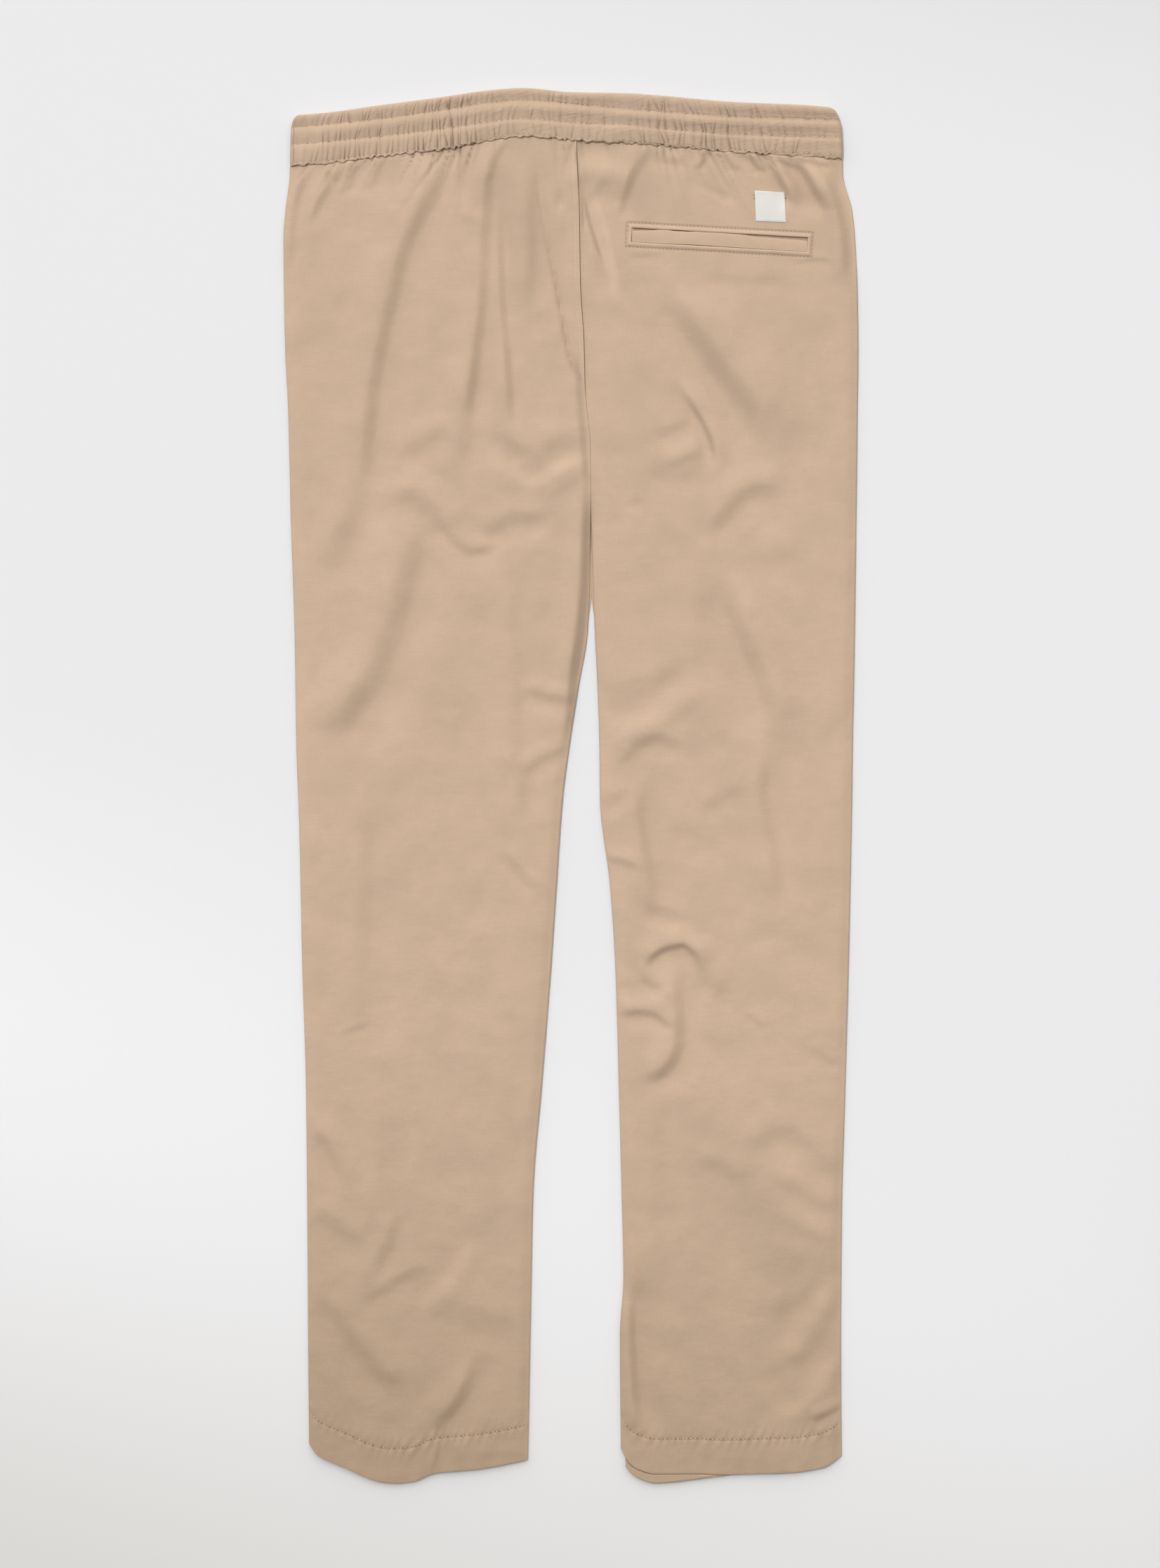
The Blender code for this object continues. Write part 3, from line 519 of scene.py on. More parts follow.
# Painted light along folds whose slopes the light here barely shows: each line paints the cloth darker as shade, or
# paler as a highlight where its drop is under zero. Each is an even trough of colour, not of height.
PAINTED_LIGHT_LINES = rows(
    Crease,
    ("seam, rubbed crest", -1.0, 7.0, ((15, 72), (18, 90), (25, 112), (31, 136), (36, 160), (39, 176)),
     0, 0.5, 0.2),
    ("seam, crest's shade", 0.9, 2.2, ((10, 82), (14, 104), (20, 124), (27, 144)), 0, 0.5, 0.3),
    ("seam, upper shade", 1.1, 1.1, ((3, 40), (5, 60), (7.5, 84), (9, 104), (10, 120)), 0, 0.5, 0.2),
    ("seam, lower shade", 0.8, 4.5, ((4, 200), (6, 230), (8, 260), (10, 285), (13, 326)), 0),
    ("crotch, shade", 1.5, 6.5, ((14, 312), (13, 350), (12, 390), (9, 425), (4, 460), (1, 490),
                                 (-4, 535)), 0, 0.5, 0.2),
    ("right, sharp", 0.6, 3.2, ((88, 243), (99, 257), (107, 271), (112, 284), (115, 302)), 0, 0.5, 0.3),
    ("right, broad", 0.3, 12.0, ((80, 168), (100, 198), (120, 226), (140, 256), (158, 294)), 0, 0.5, 0.3),
    ("seat, left shade", 0.38, 34.0, ((-98, 56), (-66, 76), (-40, 100), (-28, 140), (-26, 176)),
     0, 0.5, 0.35),
    ("seat, right shade", 0.5, 18.0, ((78, 56), (62, 74), (54, 96), (58, 124)), 0, 0.5, 0.4),
    ("calf, shade", 0.34, 38.0, ((70, 790), (106, 846), (144, 882), (170, 930), (176, 1010)), 0, 0.5, 0.3),
)
CREASES = (*SEAT_CREASES, *WAIST_CREASES, *LEFT_LEG_CREASES, *RIGHT_LEG_CREASES)


@dataclass(frozen=True)
class Ripples:
    """The slight unevenness of cloth that has seen wear and been smoothed out by hand."""

    seed: int = 11
    waves: int = 40
    shortest: float = 16.0
    longest: float = 90.0
    slope: float = 0.008

    def rise(self, x: Array, down: Array) -> Array:
        """A sum of level waves of random way, length and phase, all of about the same slope.

        Args:
            x: places across the garment.
            down: places along it.

        Returns:
            The height added at each place.
        """
        random = np.random.default_rng(self.seed)
        ways = random.uniform(0.0, math.pi, self.waves)
        lengths = np.geomspace(self.shortest, self.longest, self.waves)
        phases = random.uniform(0.0, 2.0 * math.pi, self.waves)
        total = np.zeros(np.shape(x))
        for way, length, phase in zip(ways, lengths, phases):
            turn = 2.0 * math.pi / length
            along = x * math.cos(way) + down * math.sin(way)
            total += self.slope / turn * np.sin(turn * along + phase)
        return total


@dataclass(frozen=True)
class Gathers:
    """The valleys that the elastic draws into the waistband and into the cloth under it."""

    seed: int = 5
    left: float = -224.0
    right: float = 216.7
    jitter: float = 0.3
    wander: tuple[float, ...] = (0.55, 0.4, 0.34, 0.26, 0.24)  # at each edge, in spacings
    table: tuple[GatherRow, ...] = rows(
        GatherRow,
        (-224.0, 8.0, 0.5),
        (-200.0, 5.0, 1.2),
        (-178.0, 3.8, 1.5),
        (-158.0, 4.2, 1.4),
        (-142.0, 5.2, 1.1),
        (-132.0, 4.2, 1.5),
        (-118.0, 3.5, 1.8),
        (-86.0, 3.6, 1.9),
        (-62.0, 5.4, 1.1),
        (-38.0, 7.0, 0.7),
        (-16.0, 5.4, 1.6),
        (4.0, 5.2, 1.4),
        (26.0, 7.4, 0.8),
        (50.0, 6.4, 0.9),
        (68.0, 4.4, 1.8),
        (80.0, 4.4, 1.8),
        (96.0, 5.6, 1.4),
        (112.0, 4.6, 1.8),
        (130.0, 4.6, 1.7),
        (160.0, 5.4, 1.3),
        (190.0, 6.6, 1.0),
        (216.7, 10.0, 0.4),
    )

    def valleys(self) -> tuple[Array, Array, Array]:
        """Where the valleys lie along each of the band's edges, and how deep they are.

        The count of valleys up to x is the integral of 1 / spacing. Each valley lies where that count
        reaches its number, moved by a random share, and wanders a little from edge to edge.

        Returns:
            x of each valley at each edge (edges by valleys), its depth there, and its mean x. The
            first and last valley are the band's two ends, with no depth.
        """
        random = np.random.default_rng(self.seed)
        x = np.linspace(self.left, self.right, 2001)
        spacing = column(self.table, "x", "spacing", x)
        counted = np.concatenate([[0.0], np.cumsum(np.diff(x) / spacing[:-1])])
        number = np.arange(1, int(counted[-1]))
        number = number + random.uniform(-self.jitter, self.jitter, len(number))
        middle = np.interp(number, counted, x)
        local = column(self.table, "x", "spacing", middle)
        edges = len(BAND_EDGES)
        wander = np.asarray(self.wander)[:, None]
        drift = random.normal(0.0, wander, (edges, len(middle))) * local
        places = np.sort(middle + drift, axis=1)
        depth = column(self.table, "x", "depth", middle) * random.uniform(0.25, 1.15, (edges, len(middle)))
        ends = np.ones((edges, 1))
        places = np.hstack([self.left * ends, places, self.right * ends])
        depth = np.hstack([0.0 * ends, depth, 0.0 * ends])
        return places, depth, places.mean(axis=0)

    def under_band(self, x: Array, below: Array) -> Array:
        """The folds that run out of the band into the cloth under it.

        Each valley is a trough (1 - q)^2 as wide as the space to its neighbours, which dies away as
        e^(-below / reach) with a reach and a slant of its own.

        Args:
            x: places across the garment.
            below: distances under the band's lower edge.

        Returns:
            The height added at each place.
        """
        random = np.random.default_rng(self.seed + 1)
        places, depth, _ = self.valleys()
        at_seam, depth_at_seam = places[-1], depth[-1]
        gaps = np.minimum(np.diff(at_seam)[:-1], np.diff(at_seam)[1:])
        added = np.zeros(np.shape(x))
        near = below < 80.0
        px, pb = x[near], below[near]
        total = np.zeros(px.shape)
        for place, deep, gap in zip(at_seam[1:-1], depth_at_seam[1:-1], gaps):
            reach = random.uniform(4.0, 18.0) * (0.5 + 0.35 * deep)
            slant = random.normal(0.0, 0.22) + 0.0043 * place
            half = 0.62 * gap + 0.05 * pb
            q = np.clip(np.abs(px - place - slant * pb) / half, 0.0, 1.0)
            total -= 1.6 * deep * (1.0 - q) ** 2 * np.exp(-pb / reach)
        added[near] = total
        return added


GATHERS = Gathers()
RIPPLES = Ripples()


# ---------------------------------------------------------------- meshes

def grid_quads(index: Array) -> Array:
    """The four-cornered faces of a grid of point numbers, anticlockwise where rows run down."""
    return np.stack(
        [index[:-1, :-1].ravel(), index[1:, :-1].ravel(), index[1:, 1:].ravel(), index[:-1, 1:].ravel()],
        axis=1,
    )


def rim_faces(fine: Array, coarse: Array, step: int) -> Array:
    """Faces that join a fine edge to a coarse one, `step` fine pieces to each coarse piece."""
    along = np.arange(len(coarse) - 1)[:, None] * step + np.arange(step + 1)
    return np.column_stack([fine[along], coarse[1:], coarse[:-1]])


def shell_faces(shape: tuple[int, int], step: int) -> list[list[int]]:
    """The faces of a closed shell: a fine outer grid, a coarse inner one and the rims between them.

    Args:
        shape: rows and columns of the outer grid, each one more than a multiple of the step.
        step: fine pieces to each coarse one.

    Returns:
        Lists of point numbers, the outer grid's points first. All faces point out of the cloth.
    """
    row_count, column_count = shape
    outer = np.arange(row_count * column_count).reshape(shape)
    inner_shape = ((row_count - 1) // step + 1, (column_count - 1) // step + 1)
    inner = outer.size + np.arange(inner_shape[0] * inner_shape[1]).reshape(inner_shape)
    parts = [
        grid_quads(outer),
        grid_quads(inner)[:, ::-1],
        rim_faces(outer[0], inner[0], step),
        rim_faces(outer[-1], inner[-1], step)[:, ::-1],
        rim_faces(outer[:, 0], inner[:, 0], step)[:, ::-1],
        rim_faces(outer[:, -1], inner[:, -1], step),
    ]
    return [face for part in parts for face in part.tolist()]


def make_object(
    name: str,
    points: Array,
    faces: list,
    materials: Sequence[bpy.types.Material],
    cloth: Optional[Array] = None,
    wear_and_painted_light: Optional[Array] = None,
    material_index: Optional[Array] = None,
    sharp_degrees: float = 52.0,
) -> bpy.types.Object:
    """A finished piece at the origin, shaded smooth but for its sharp edges.

    Args:
        name: the piece's name.
        points: its points in metres.
        faces: lists of point numbers.
        materials: its finishes.
        cloth: for each point, its place along and across the flat cloth, in metres.
        wear_and_painted_light: for each point, how much paler the cloth is there, up to 1, for wear and painted
            highlights, and how much darker, down to -1, for painted shade.
        material_index: for each face, which finish it has.
        sharp_degrees: edges bent further than this are shaded sharp.

    Returns:
        The new object, linked to the scene.
    """
    mesh = bpy.data.meshes.new(name)
    mesh.from_pydata(np.asarray(points).reshape(-1, 3).tolist(), [], faces)
    for material in materials:
        mesh.materials.append(material)
    count = len(mesh.vertices)
    if cloth is not None:
        place = np.zeros((count, 3), np.float32)
        place[:, : cloth.shape[-1]] = cloth.reshape(count, -1)
        mesh.attributes.new("cloth", "FLOAT_VECTOR", "POINT").data.foreach_set("vector", place.ravel())
    # A point attribute: paler for wear and painted highlights, darker for painted shade.
    if wear_and_painted_light is not None:
        rubbed = np.asarray(wear_and_painted_light, np.float32).ravel()
        mesh.attributes.new("wear_and_painted_light", "FLOAT", "POINT").data.foreach_set("value", rubbed)
    if material_index is not None:
        mesh.polygons.foreach_set("material_index", np.asarray(material_index, np.int32))
    mesh.shade_smooth()
    mesh.set_sharp_from_angle(angle=math.radians(sharp_degrees))
    mesh.update()
    made = bpy.data.objects.new(name, mesh)
    bpy.context.scene.collection.objects.link(made)
    return made


# ---------------------------------------------------------------- finishes

class Shader:
    """A material's node tree, with short ways to add nodes and join them."""

    def __init__(self, name: str) -> None:
        """Makes a material with its Principled BSDF."""
        self.material = bpy.data.materials.new(name)
        self.material.use_nodes = True
        self.tree = self.material.node_tree
        self.surface = self.tree.nodes["Principled BSDF"]

    def node(self, kind: str, inputs: Optional[dict] = None, **settings: object) -> bpy.types.Node:
        """Adds a node.

        Args:
            kind: the node's type, without its ShaderNode prefix.
            inputs: a value or another node's socket for each named or numbered input.
            settings: the node's own properties.

        Returns:
            The new node.
        """
        made = self.tree.nodes.new("ShaderNode" + kind)
        for key, value in settings.items():
            setattr(made, key, value)
        for key, value in (inputs or {}).items():
            if isinstance(value, bpy.types.NodeSocket):
                self.tree.links.new(value, made.inputs[key])
            else:
                made.inputs[key].default_value = value
        return made

    def maths(self, operation: str, first: object, second: object = 0.0) -> bpy.types.NodeSocket:
        """One sum of two numbers or sockets."""
        return self.node("Math", {0: first, 1: second}, operation=operation).outputs[0]

    def mapped(self, vector: bpy.types.NodeSocket, scale: tuple[float, float, float]) -> bpy.types.NodeSocket:
        """A vector stretched by a scale."""
        return self.node("Mapping", {"Vector": vector, "Scale": scale}).outputs[0]

    def noise(self, vector: bpy.types.NodeSocket, scale: float, detail: float = 2.0) -> bpy.types.NodeSocket:
        """A soft cloud pattern from 0 to 1."""
        return self.node("TexNoise", {"Vector": vector, "Scale": scale, "Detail": detail}).outputs["Fac"]

    def spread(self, *parts: tuple[bpy.types.NodeSocket, float]) -> bpy.types.NodeSocket:
        """0.5 plus each pattern's distance from 0.5 times its weight."""
        total: object = 0.5 - 0.5 * sum(weight for _, weight in parts)
        for socket, weight in parts:
            total = self.node("Math", {0: socket, 1: weight, 2: total}, operation="MULTIPLY_ADD").outputs[0]
        return total

    def mix(self, factor: object, first: object, second: object) -> bpy.types.NodeSocket:
        """A colour between two colours."""
        made = self.node("Mix", {"Factor": factor}, data_type="RGBA", clamp_factor=True)
        for place, value in ((6, first), (7, second)):
            if isinstance(value, bpy.types.NodeSocket):
                self.tree.links.new(value, made.inputs[place])
            else:
                made.inputs[place].default_value = value
        return made.outputs[2]

    def bump(
        self, height: bpy.types.NodeSocket, distance: float, strength: float,
        under: Optional[bpy.types.NodeSocket] = None,
    ) -> bpy.types.NodeSocket:
        """A bumped normal, on top of another one where that is given."""
        inputs = {"Height": height, "Distance": distance, "Strength": strength}
        if under is not None:
            inputs["Normal"] = under
        return self.node("Bump", inputs).outputs[0]

    def finish(self, **sockets: object) -> bpy.types.Material:
        """Sets or joins the shader's own sockets, with _ for a space in their names."""
        for name, value in sockets.items():
            socket = self.surface.inputs[name.replace("_", " ")]
            if isinstance(value, bpy.types.NodeSocket):
                self.tree.links.new(value, socket)
            else:
                socket.default_value = value
        return self.material


def shade(colour: tuple[float, float, float], factor: float) -> tuple[float, float, float, float]:
    """A colour made lighter or darker, with full alpha."""
    return (*(min(part * factor, 1.0) for part in colour), 1.0)


@dataclass(frozen=True)
class TwillFinish:
    """Matt cotton twill: diagonal weave, level slubs and soft mottling.

    It is paler where it shows wear and where highlights are painted, and darker where shade is painted into gathers,
    grooves and folds.
    """

    name: str
    colour: tuple[float, float, float]
    contrast: float = 0.10
    streaks: float = 0.0
    # Colour factors: the first is reached where the cloth is paler, for wear and painted highlights, the second
    # where shade is painted.
    rubbed: float = 1.15
    painted_shade: float = 0.74

    def material(self) -> bpy.types.Material:
        """Builds the material, whose patterns follow the cloth's own attribute.

        Returns:
            The new material.
        """
        shader = Shader(self.name)
        cloth = shader.node("Attribute", attribute_name="cloth").outputs["Vector"]
        wear_and_painted_light = shader.node("Attribute", attribute_name="wear_and_painted_light").outputs["Fac"]
        slub = shader.noise(shader.mapped(cloth, (60.0, 1700.0, 1.0)), 1.0, 3.0)
        bars = shader.noise(shader.mapped(cloth, (24.0, 400.0, 1.0)), 1.0, 3.0)
        ends = shader.noise(shader.mapped(cloth, (1900.0, 110.0, 1.0)), 1.0, 2.0)
        grain = shader.noise(cloth, 900.0, 2.0)
        mottle = shader.noise(cloth, 26.0, 3.0)
        cloud = shader.noise(cloth, 75.0, 2.0)
        broad = shader.noise(cloth, 7.0, 2.0)
        weave = shader.node(
            "TexWave", {"Vector": cloth, "Scale": 420.0, "Distortion": 0.6, "Detail Scale": 3.0},
            wave_type="BANDS", bands_direction="DIAGONAL",
        ).outputs["Fac"]
        tone = shader.spread(
            (slub, 0.9), (bars, 0.22), (ends, 0.6), (grain, 0.5), (mottle, 0.9), (cloud, 0.35), (broad, 0.55),
            (weave, 0.12),
        )
        dark, light = shade(self.colour, 1.0 - self.contrast), shade(self.colour, 1.0 + self.contrast)
        base = shader.mix(tone, dark, light)
        # Paler for wear and painted highlights as the attribute goes to 1, darker for painted shade as it goes to
        # -1.
        base = shader.mix(shader.maths("MULTIPLY", wear_and_painted_light, 0.8), base, shade(self.colour, self.rubbed))
        base = shader.mix(shader.maths("MULTIPLY", wear_and_painted_light, -0.9), base, shade(self.colour, self.painted_shade))
        threads = shader.spread((weave, 0.6), (slub, 0.5), (ends, 0.4))
        normal = shader.bump(threads, 0.00022, 0.45)
        crumple = shader.noise(cloth, 85.0, 3.0)
        normal = shader.bump(crumple, 0.0012, 0.42, normal)
        normal = shader.bump(shader.noise(cloth, 210.0, 2.0), 0.0006, 0.30, normal)
        if self.streaks:
            streak = shader.noise(shader.mapped(cloth, (330.0, 28.0, 1.0)), 1.0, 3.0)
            normal = shader.bump(streak, 0.0016, self.streaks, normal)
        roughness = shader.spread((slub, 0.10), (mottle, 0.06))
        roughness = shader.maths("ADD", roughness, 0.38)
        return shader.finish(
            Base_Color=base, Roughness=roughness, Normal=normal,
            Specular_IOR_Level=0.28, Sheen_Weight=0.12, Sheen_Roughness=0.5,
        )


@dataclass(frozen=True)
class ThreadFinish:
    """Sewing thread with the turns of its ply."""

    name: str
    colour: tuple[float, float, float]
    contrast: float = 0.14

    def material(self) -> bpy.types.Material:
        """Builds the material, whose ply follows the thread's own attribute."""
        shader = Shader(self.name)
        cloth = shader.node("Attribute", attribute_name="cloth").outputs["Vector"]
        ply = shader.node(
            "TexWave", {"Vector": cloth, "Scale": 500.0, "Distortion": 0.4},
            wave_type="BANDS", bands_direction="DIAGONAL",
        ).outputs["Fac"]
        fuzz = shader.noise(cloth, 2400.0, 2.0)
        tone = shader.spread((ply, 0.8), (fuzz, 0.5))
        base = shader.mix(tone, shade(self.colour, 1.0 - self.contrast), shade(self.colour, 1.0 + self.contrast))
        normal = shader.bump(ply, 0.0001, 0.5)
        return shader.finish(Base_Color=base, Roughness=0.7, Normal=normal, Sheen_Weight=0.1)


@dataclass(frozen=True)
class TapeFinish:
    """Plain off-white woven tape, with fine ribs and a faint cross thread."""

    name: str
    colour: tuple[float, float, float]
    contrast: float = 0.04

    def material(self) -> bpy.types.Material:
        """Builds the material, whose ribs follow the tape's own attribute."""
        shader = Shader(self.name)
        cloth = shader.node("Attribute", attribute_name="cloth").outputs["Vector"]
        ribs = shader.node(
            "TexWave", {"Vector": cloth, "Scale": 620.0, "Distortion": 0.3}, bands_direction="Y",
        ).outputs["Fac"]
        cross = shader.node(
            "TexWave", {"Vector": cloth, "Scale": 520.0, "Distortion": 0.3}, bands_direction="X",
        ).outputs["Fac"]
        cloud = shader.noise(cloth, 160.0, 3.0)
        tone = shader.spread((ribs, 0.4), (cross, 0.3), (cloud, 0.9))
        base = shader.mix(tone, shade(self.colour, 1.0 - self.contrast), shade(self.colour, 1.0 + self.contrast))
        normal = shader.bump(shader.spread((ribs, 0.6), (cross, 0.4)), 0.00012, 0.5)
        normal = shader.bump(cloud, 0.0005, 0.3, normal)
        return shader.finish(Base_Color=base, Roughness=0.62, Normal=normal, Sheen_Weight=0.08)


@dataclass(frozen=True)
class FloorFinish:
    """A pale studio surface with painted light: its colour is paler towards the hem end and the left, where the
    softbox's light is weaker.
    """

    name: str
    near_hem: tuple[float, float, float]
    near_waist: tuple[float, float, float]
    slant: float = 0.35
    near: float = -0.7
    far: float = -0.05

    def material(self) -> bpy.types.Material:
        """Builds the material: one pale colour, painted slowly paler along the floor towards the hem end and the
        left as painted light.
        """
        shader = Shader(self.name)
        place = shader.node("TexCoord").outputs["Object"]
        axes = shader.node("SeparateXYZ", {0: place}).outputs
        along = shader.maths("ADD", shader.maths("MULTIPLY", axes["X"], self.slant), axes["Y"])
        share = shader.node(
            "MapRange", {"Value": along, "From Min": self.near, "From Max": self.far},
            interpolation_type="SMOOTHSTEP",
        ).outputs[0]
        cloud = shader.noise(place, 3.0, 3.0)
        base = shader.mix(share, (*self.near_hem, 1.0), (*self.near_waist, 1.0))
        tinted = shader.mix(shader.maths("MULTIPLY", cloud, 0.02), base, (0.5, 0.5, 0.5, 1.0))
        fine = shader.noise(place, 900.0, 2.0)
        return shader.finish(Base_Color=tinted, Roughness=0.75, Normal=shader.bump(fine, 0.0001, 0.05),
                             Specular_IOR_Level=0.25)


class Finish(Enum):
    """The garment's finishes."""

    TWILL = TwillFinish("khaki_twill", (0.475, 0.347, 0.249))
    TWILL_BAND = TwillFinish("gathered_khaki_twill", (0.475, 0.347, 0.249), streaks=0.35)
    THREAD = ThreadFinish("khaki_thread", (0.60, 0.455, 0.337))
    # Dark discs at the stitches' ends: painted shade where the needle went through the cloth.
    NEEDLE_HOLE_SHADE = ThreadFinish("needle_hole_shade", (0.20, 0.135, 0.088))
    RED_THREAD = ThreadFinish("dark_red_thread", (0.17, 0.035, 0.03))
    TAPE = TapeFinish("woven_tape", (0.60, 0.585, 0.553))
    FLOOR = FloorFinish("studio_floor", (0.85, 0.862, 0.893), (0.665, 0.668, 0.681))

    def made(self) -> bpy.types.Material:
        """The finish's material, made the first time that it is asked for."""
        return bpy.data.materials.get(self.value.name) or self.value.material()


# ---------------------------------------------------------------- leg panels

REST = 1.5  # height of a back panel's underside where it lies on the front panel
HEM_CLIMB = 0.35  # how much higher it lies on the front panel's turned hem
CLOTH = 1.0  # a layer of twill with its slight fullness
LEAST_LOFT = 0.3
SOFT = 0.7  # over which the least loft is come down to
PLAN_PASSES = 6
TOP_AT, HEM_AT = 50.0, 1105.0  # nominal ends of a panel, before its own edges are followed


@dataclass(frozen=True)
class PocketPlace:
    """Where the back pocket lies on the right panel, and the relief of its window and its frame."""

    x: float = 118.3
    down: float = 121.1
    turn: float = math.radians(-3.2)
    half_length: float = 70.0
    half_height: float = 5.8
    depth: float = 2.3
    frame_width: float = 3.9
    frame_rise: float = 0.6
    wall: float = 0.35

    def local(self, x: Array, down: Array) -> tuple[Array, Array]:
        """Distances along the pocket and up across it from its middle."""
        dx, dd = x - self.x, down - self.down
        along = dx * math.cos(self.turn) - dd * math.sin(self.turn)
        across = -dx * math.sin(self.turn) - dd * math.cos(self.turn)
        return along, across

    def placed(self, along: Array, across: Array) -> tuple[Array, Array]:
        """x and down of points given along the pocket and across it."""
        x = self.x + along * math.cos(self.turn) - across * math.sin(self.turn)
        down = self.down - along * math.sin(self.turn) - across * math.cos(self.turn)
        return x, down

    def relief(self, x: Array, down: Array) -> Array:
        """The sunk window, the raised frame round it and the groove of the frame's stitches.

        Args:
            x: places across the garment.
            down: places along it.

        Returns:
            The height added at each place.
        """
        along, across = self.local(x, down)
        outside = np.maximum(np.abs(along) - self.half_length, np.abs(across) - self.half_height)
        window = smooth_step(-outside / self.wall)
        frame_ = self.frame_rise * (1.0 - smooth_step((outside - self.frame_width) / 2.2))
        groove = -1.1 * bell((outside - self.frame_width) / 0.9)
        lip = 0.35 * bell((outside - 0.9) / 0.9)
        return np.where(outside > 0.0, frame_ + groove + lip, self.frame_rise - self.depth * window)


POCKET = PocketPlace()


@dataclass
class BackPanel:
    """One back leg panel: the laid cloth with its creases, rolled edges and turned hem."""

    side: Side
    hem: tuple[HemRow, ...]
    pocket: Optional[PocketPlace] = None
    step: int = 4
    wall: float = 0.9
    hem_wall: float = 1.5
    seam_roll: float = 0.55
    seam_drop: float = 0.3
    leg_roll: float = 1.4
    leg_tuck: float = 2.2
    middle_height: float = 1.1
    tuck_drop: float = 0.8
    edge_share: float = 0.42
    edge_reach: float = 10.5
    ridge_width: float = 6.6
    ridge_rise: float = 0.75
    stitch_from_seam: float = 3.4
    roll_degrees: tuple[float, ...] = (-90.0, -55.0, -22.0, 8.0, 34.0, 56.0, 74.0)

    def name(self) -> str:
        """The CAD node's name."""
        return "back_" + self.side.name.lower()

    def inner_edge(self, down: Array) -> Array:
        """x of the seat seam, or of the leg's inner edge, half a seam gap from the other panel."""
        return column(MIDDLE, "down", self.side.name.lower(), down) + self.side.value * SEAM_GAP / 2

    def outer_edge(self, down: Array) -> Array:
        """x of the panel's edge at the side of the garment."""
        return column(SIDES, "down", self.side.name.lower(), down)

    def openness(self, down: Array) -> Array:
        """0 along the seat seam and 1 where the two legs lie apart."""
        return smooth_step((down - CROTCH_DOWN) / CROTCH_REACH)

    def band_line(self, x: Array) -> Array:
        """Where the panel's upper edge runs, under the waistband's uneven lower edge."""
        return Waistband.bottom_edge(x) + SEAM_GAP

    def surface(self, x: Array, down: Array) -> Array:
        """The height of the panel's upper face.

        Loft, creases, ripples and gathers over the rest height, bent down to the sides, with the
        seam's ridge, the hem's thickness and puckers, and the pocket's relief.

        Args:
            x: places across the garment.
            down: places along it.

        Returns:
            z at each place.
        """
        over_hem = down - column(self.hem, "x", "down", x) + HEM_HEIGHT
        rest = REST + HEM_CLIMB * smooth_step((over_hem + 24.0) / 20.0)
        height = column(LOFTS, "at", "height", down)
        for crease in CREASES:
            height = height + crease.rise(x, down)
        below = np.maximum(down - self.band_line(x), 0.0)
        height = height + RIPPLES.rise(x, down) + GATHERS.under_band(x, below)
        top = rest + CLOTH + LEAST_LOFT + SOFT * np.logaddexp(0.0, (height - LEAST_LOFT) / SOFT)
        top = top + self.hem_relief(x, over_hem)
        top = top - 0.4 * np.square(1.0 - np.clip(below / 1.2, 0.0, 1.0))
        if self.pocket is not None:
            top = top + self.pocket.relief(x, down)
        from_side = np.abs(x - self.outer_edge(down))
        from_inside = np.abs(x - self.inner_edge(down))
        open_ = self.openness(down)
        bent = self.bend(from_side) * (1.0 - open_ * (1.0 - self.bend(from_inside)))
        top = self.middle_height + (top - self.middle_height) * bent
        return top + (1.0 - open_) * self.seam_relief(from_inside, down)

    def bend(self, from_edge: Array) -> Array:
        """The share of the height that is left near an edge: a sine rise over the edge's reach."""
        share = np.clip(from_edge / self.edge_reach, 0.0, 1.0)
        return self.edge_share + (1.0 - self.edge_share) * np.sin(share * math.pi / 2)

    def seam_relief(self, from_seam: Array, down: Array) -> Array:
        """The seam allowance's ridge on the left panel, and the hollow beside it on the right one."""
        if self.side is Side.RIGHT:
            return -1.0 * bell((from_seam - 2.0) / 8.0)
        ridge = self.ridge_rise * (1.0 - smooth_step((from_seam - self.ridge_width) / 3.5))
        groove = -0.35 * bell((from_seam - self.stitch_from_seam) / 0.8)
        rolled = -1.4 * smooth_step((down - 225.0) / 30.0) * bell(from_seam / 9.0)
        return ridge + rolled + groove * (1.0 - smooth_step((down - 215.0) / 20.0))

    @staticmethod
    def pucker_phase(x: Array) -> Array:
        """How far round their wave the hem's uneven puckers are at x."""
        return x * 0.86 + 2.1 * np.sin(x / 13.0) + 1.7 * np.sin(x / 7.3 + 1.0)

    def hem_relief(self, x: Array, over_hem: Array) -> Array:
        """The hem's thickness, its groove of stitches and the puckers on both sides of them."""
        thicker = 0.3 * smooth_step((over_hem + 2.5) / 5.0)
        groove = -0.25 * bell(over_hem / 1.3)
        phase = self.pucker_phase(x)
        swell = 0.85 + 0.25 * np.sin(x / 21.0 + 0.6)
        pucker = 0.5 * swell * np.sin(phase + 0.35 * over_hem) * bell(over_hem / 7.0)
        wave = 0.14 * np.sin(x * 0.37 + 1.3 * np.sin(x / 19.0) + 0.12 * over_hem)
        lower = smooth_step((over_hem - 1.0) / 5.0)
        rounded = -0.3 * np.square(np.clip((over_hem - HEM_HEIGHT + 1.4) / 1.4, 0.0, 1.0))
        return thicker + groove + pucker + wave * lower + rounded

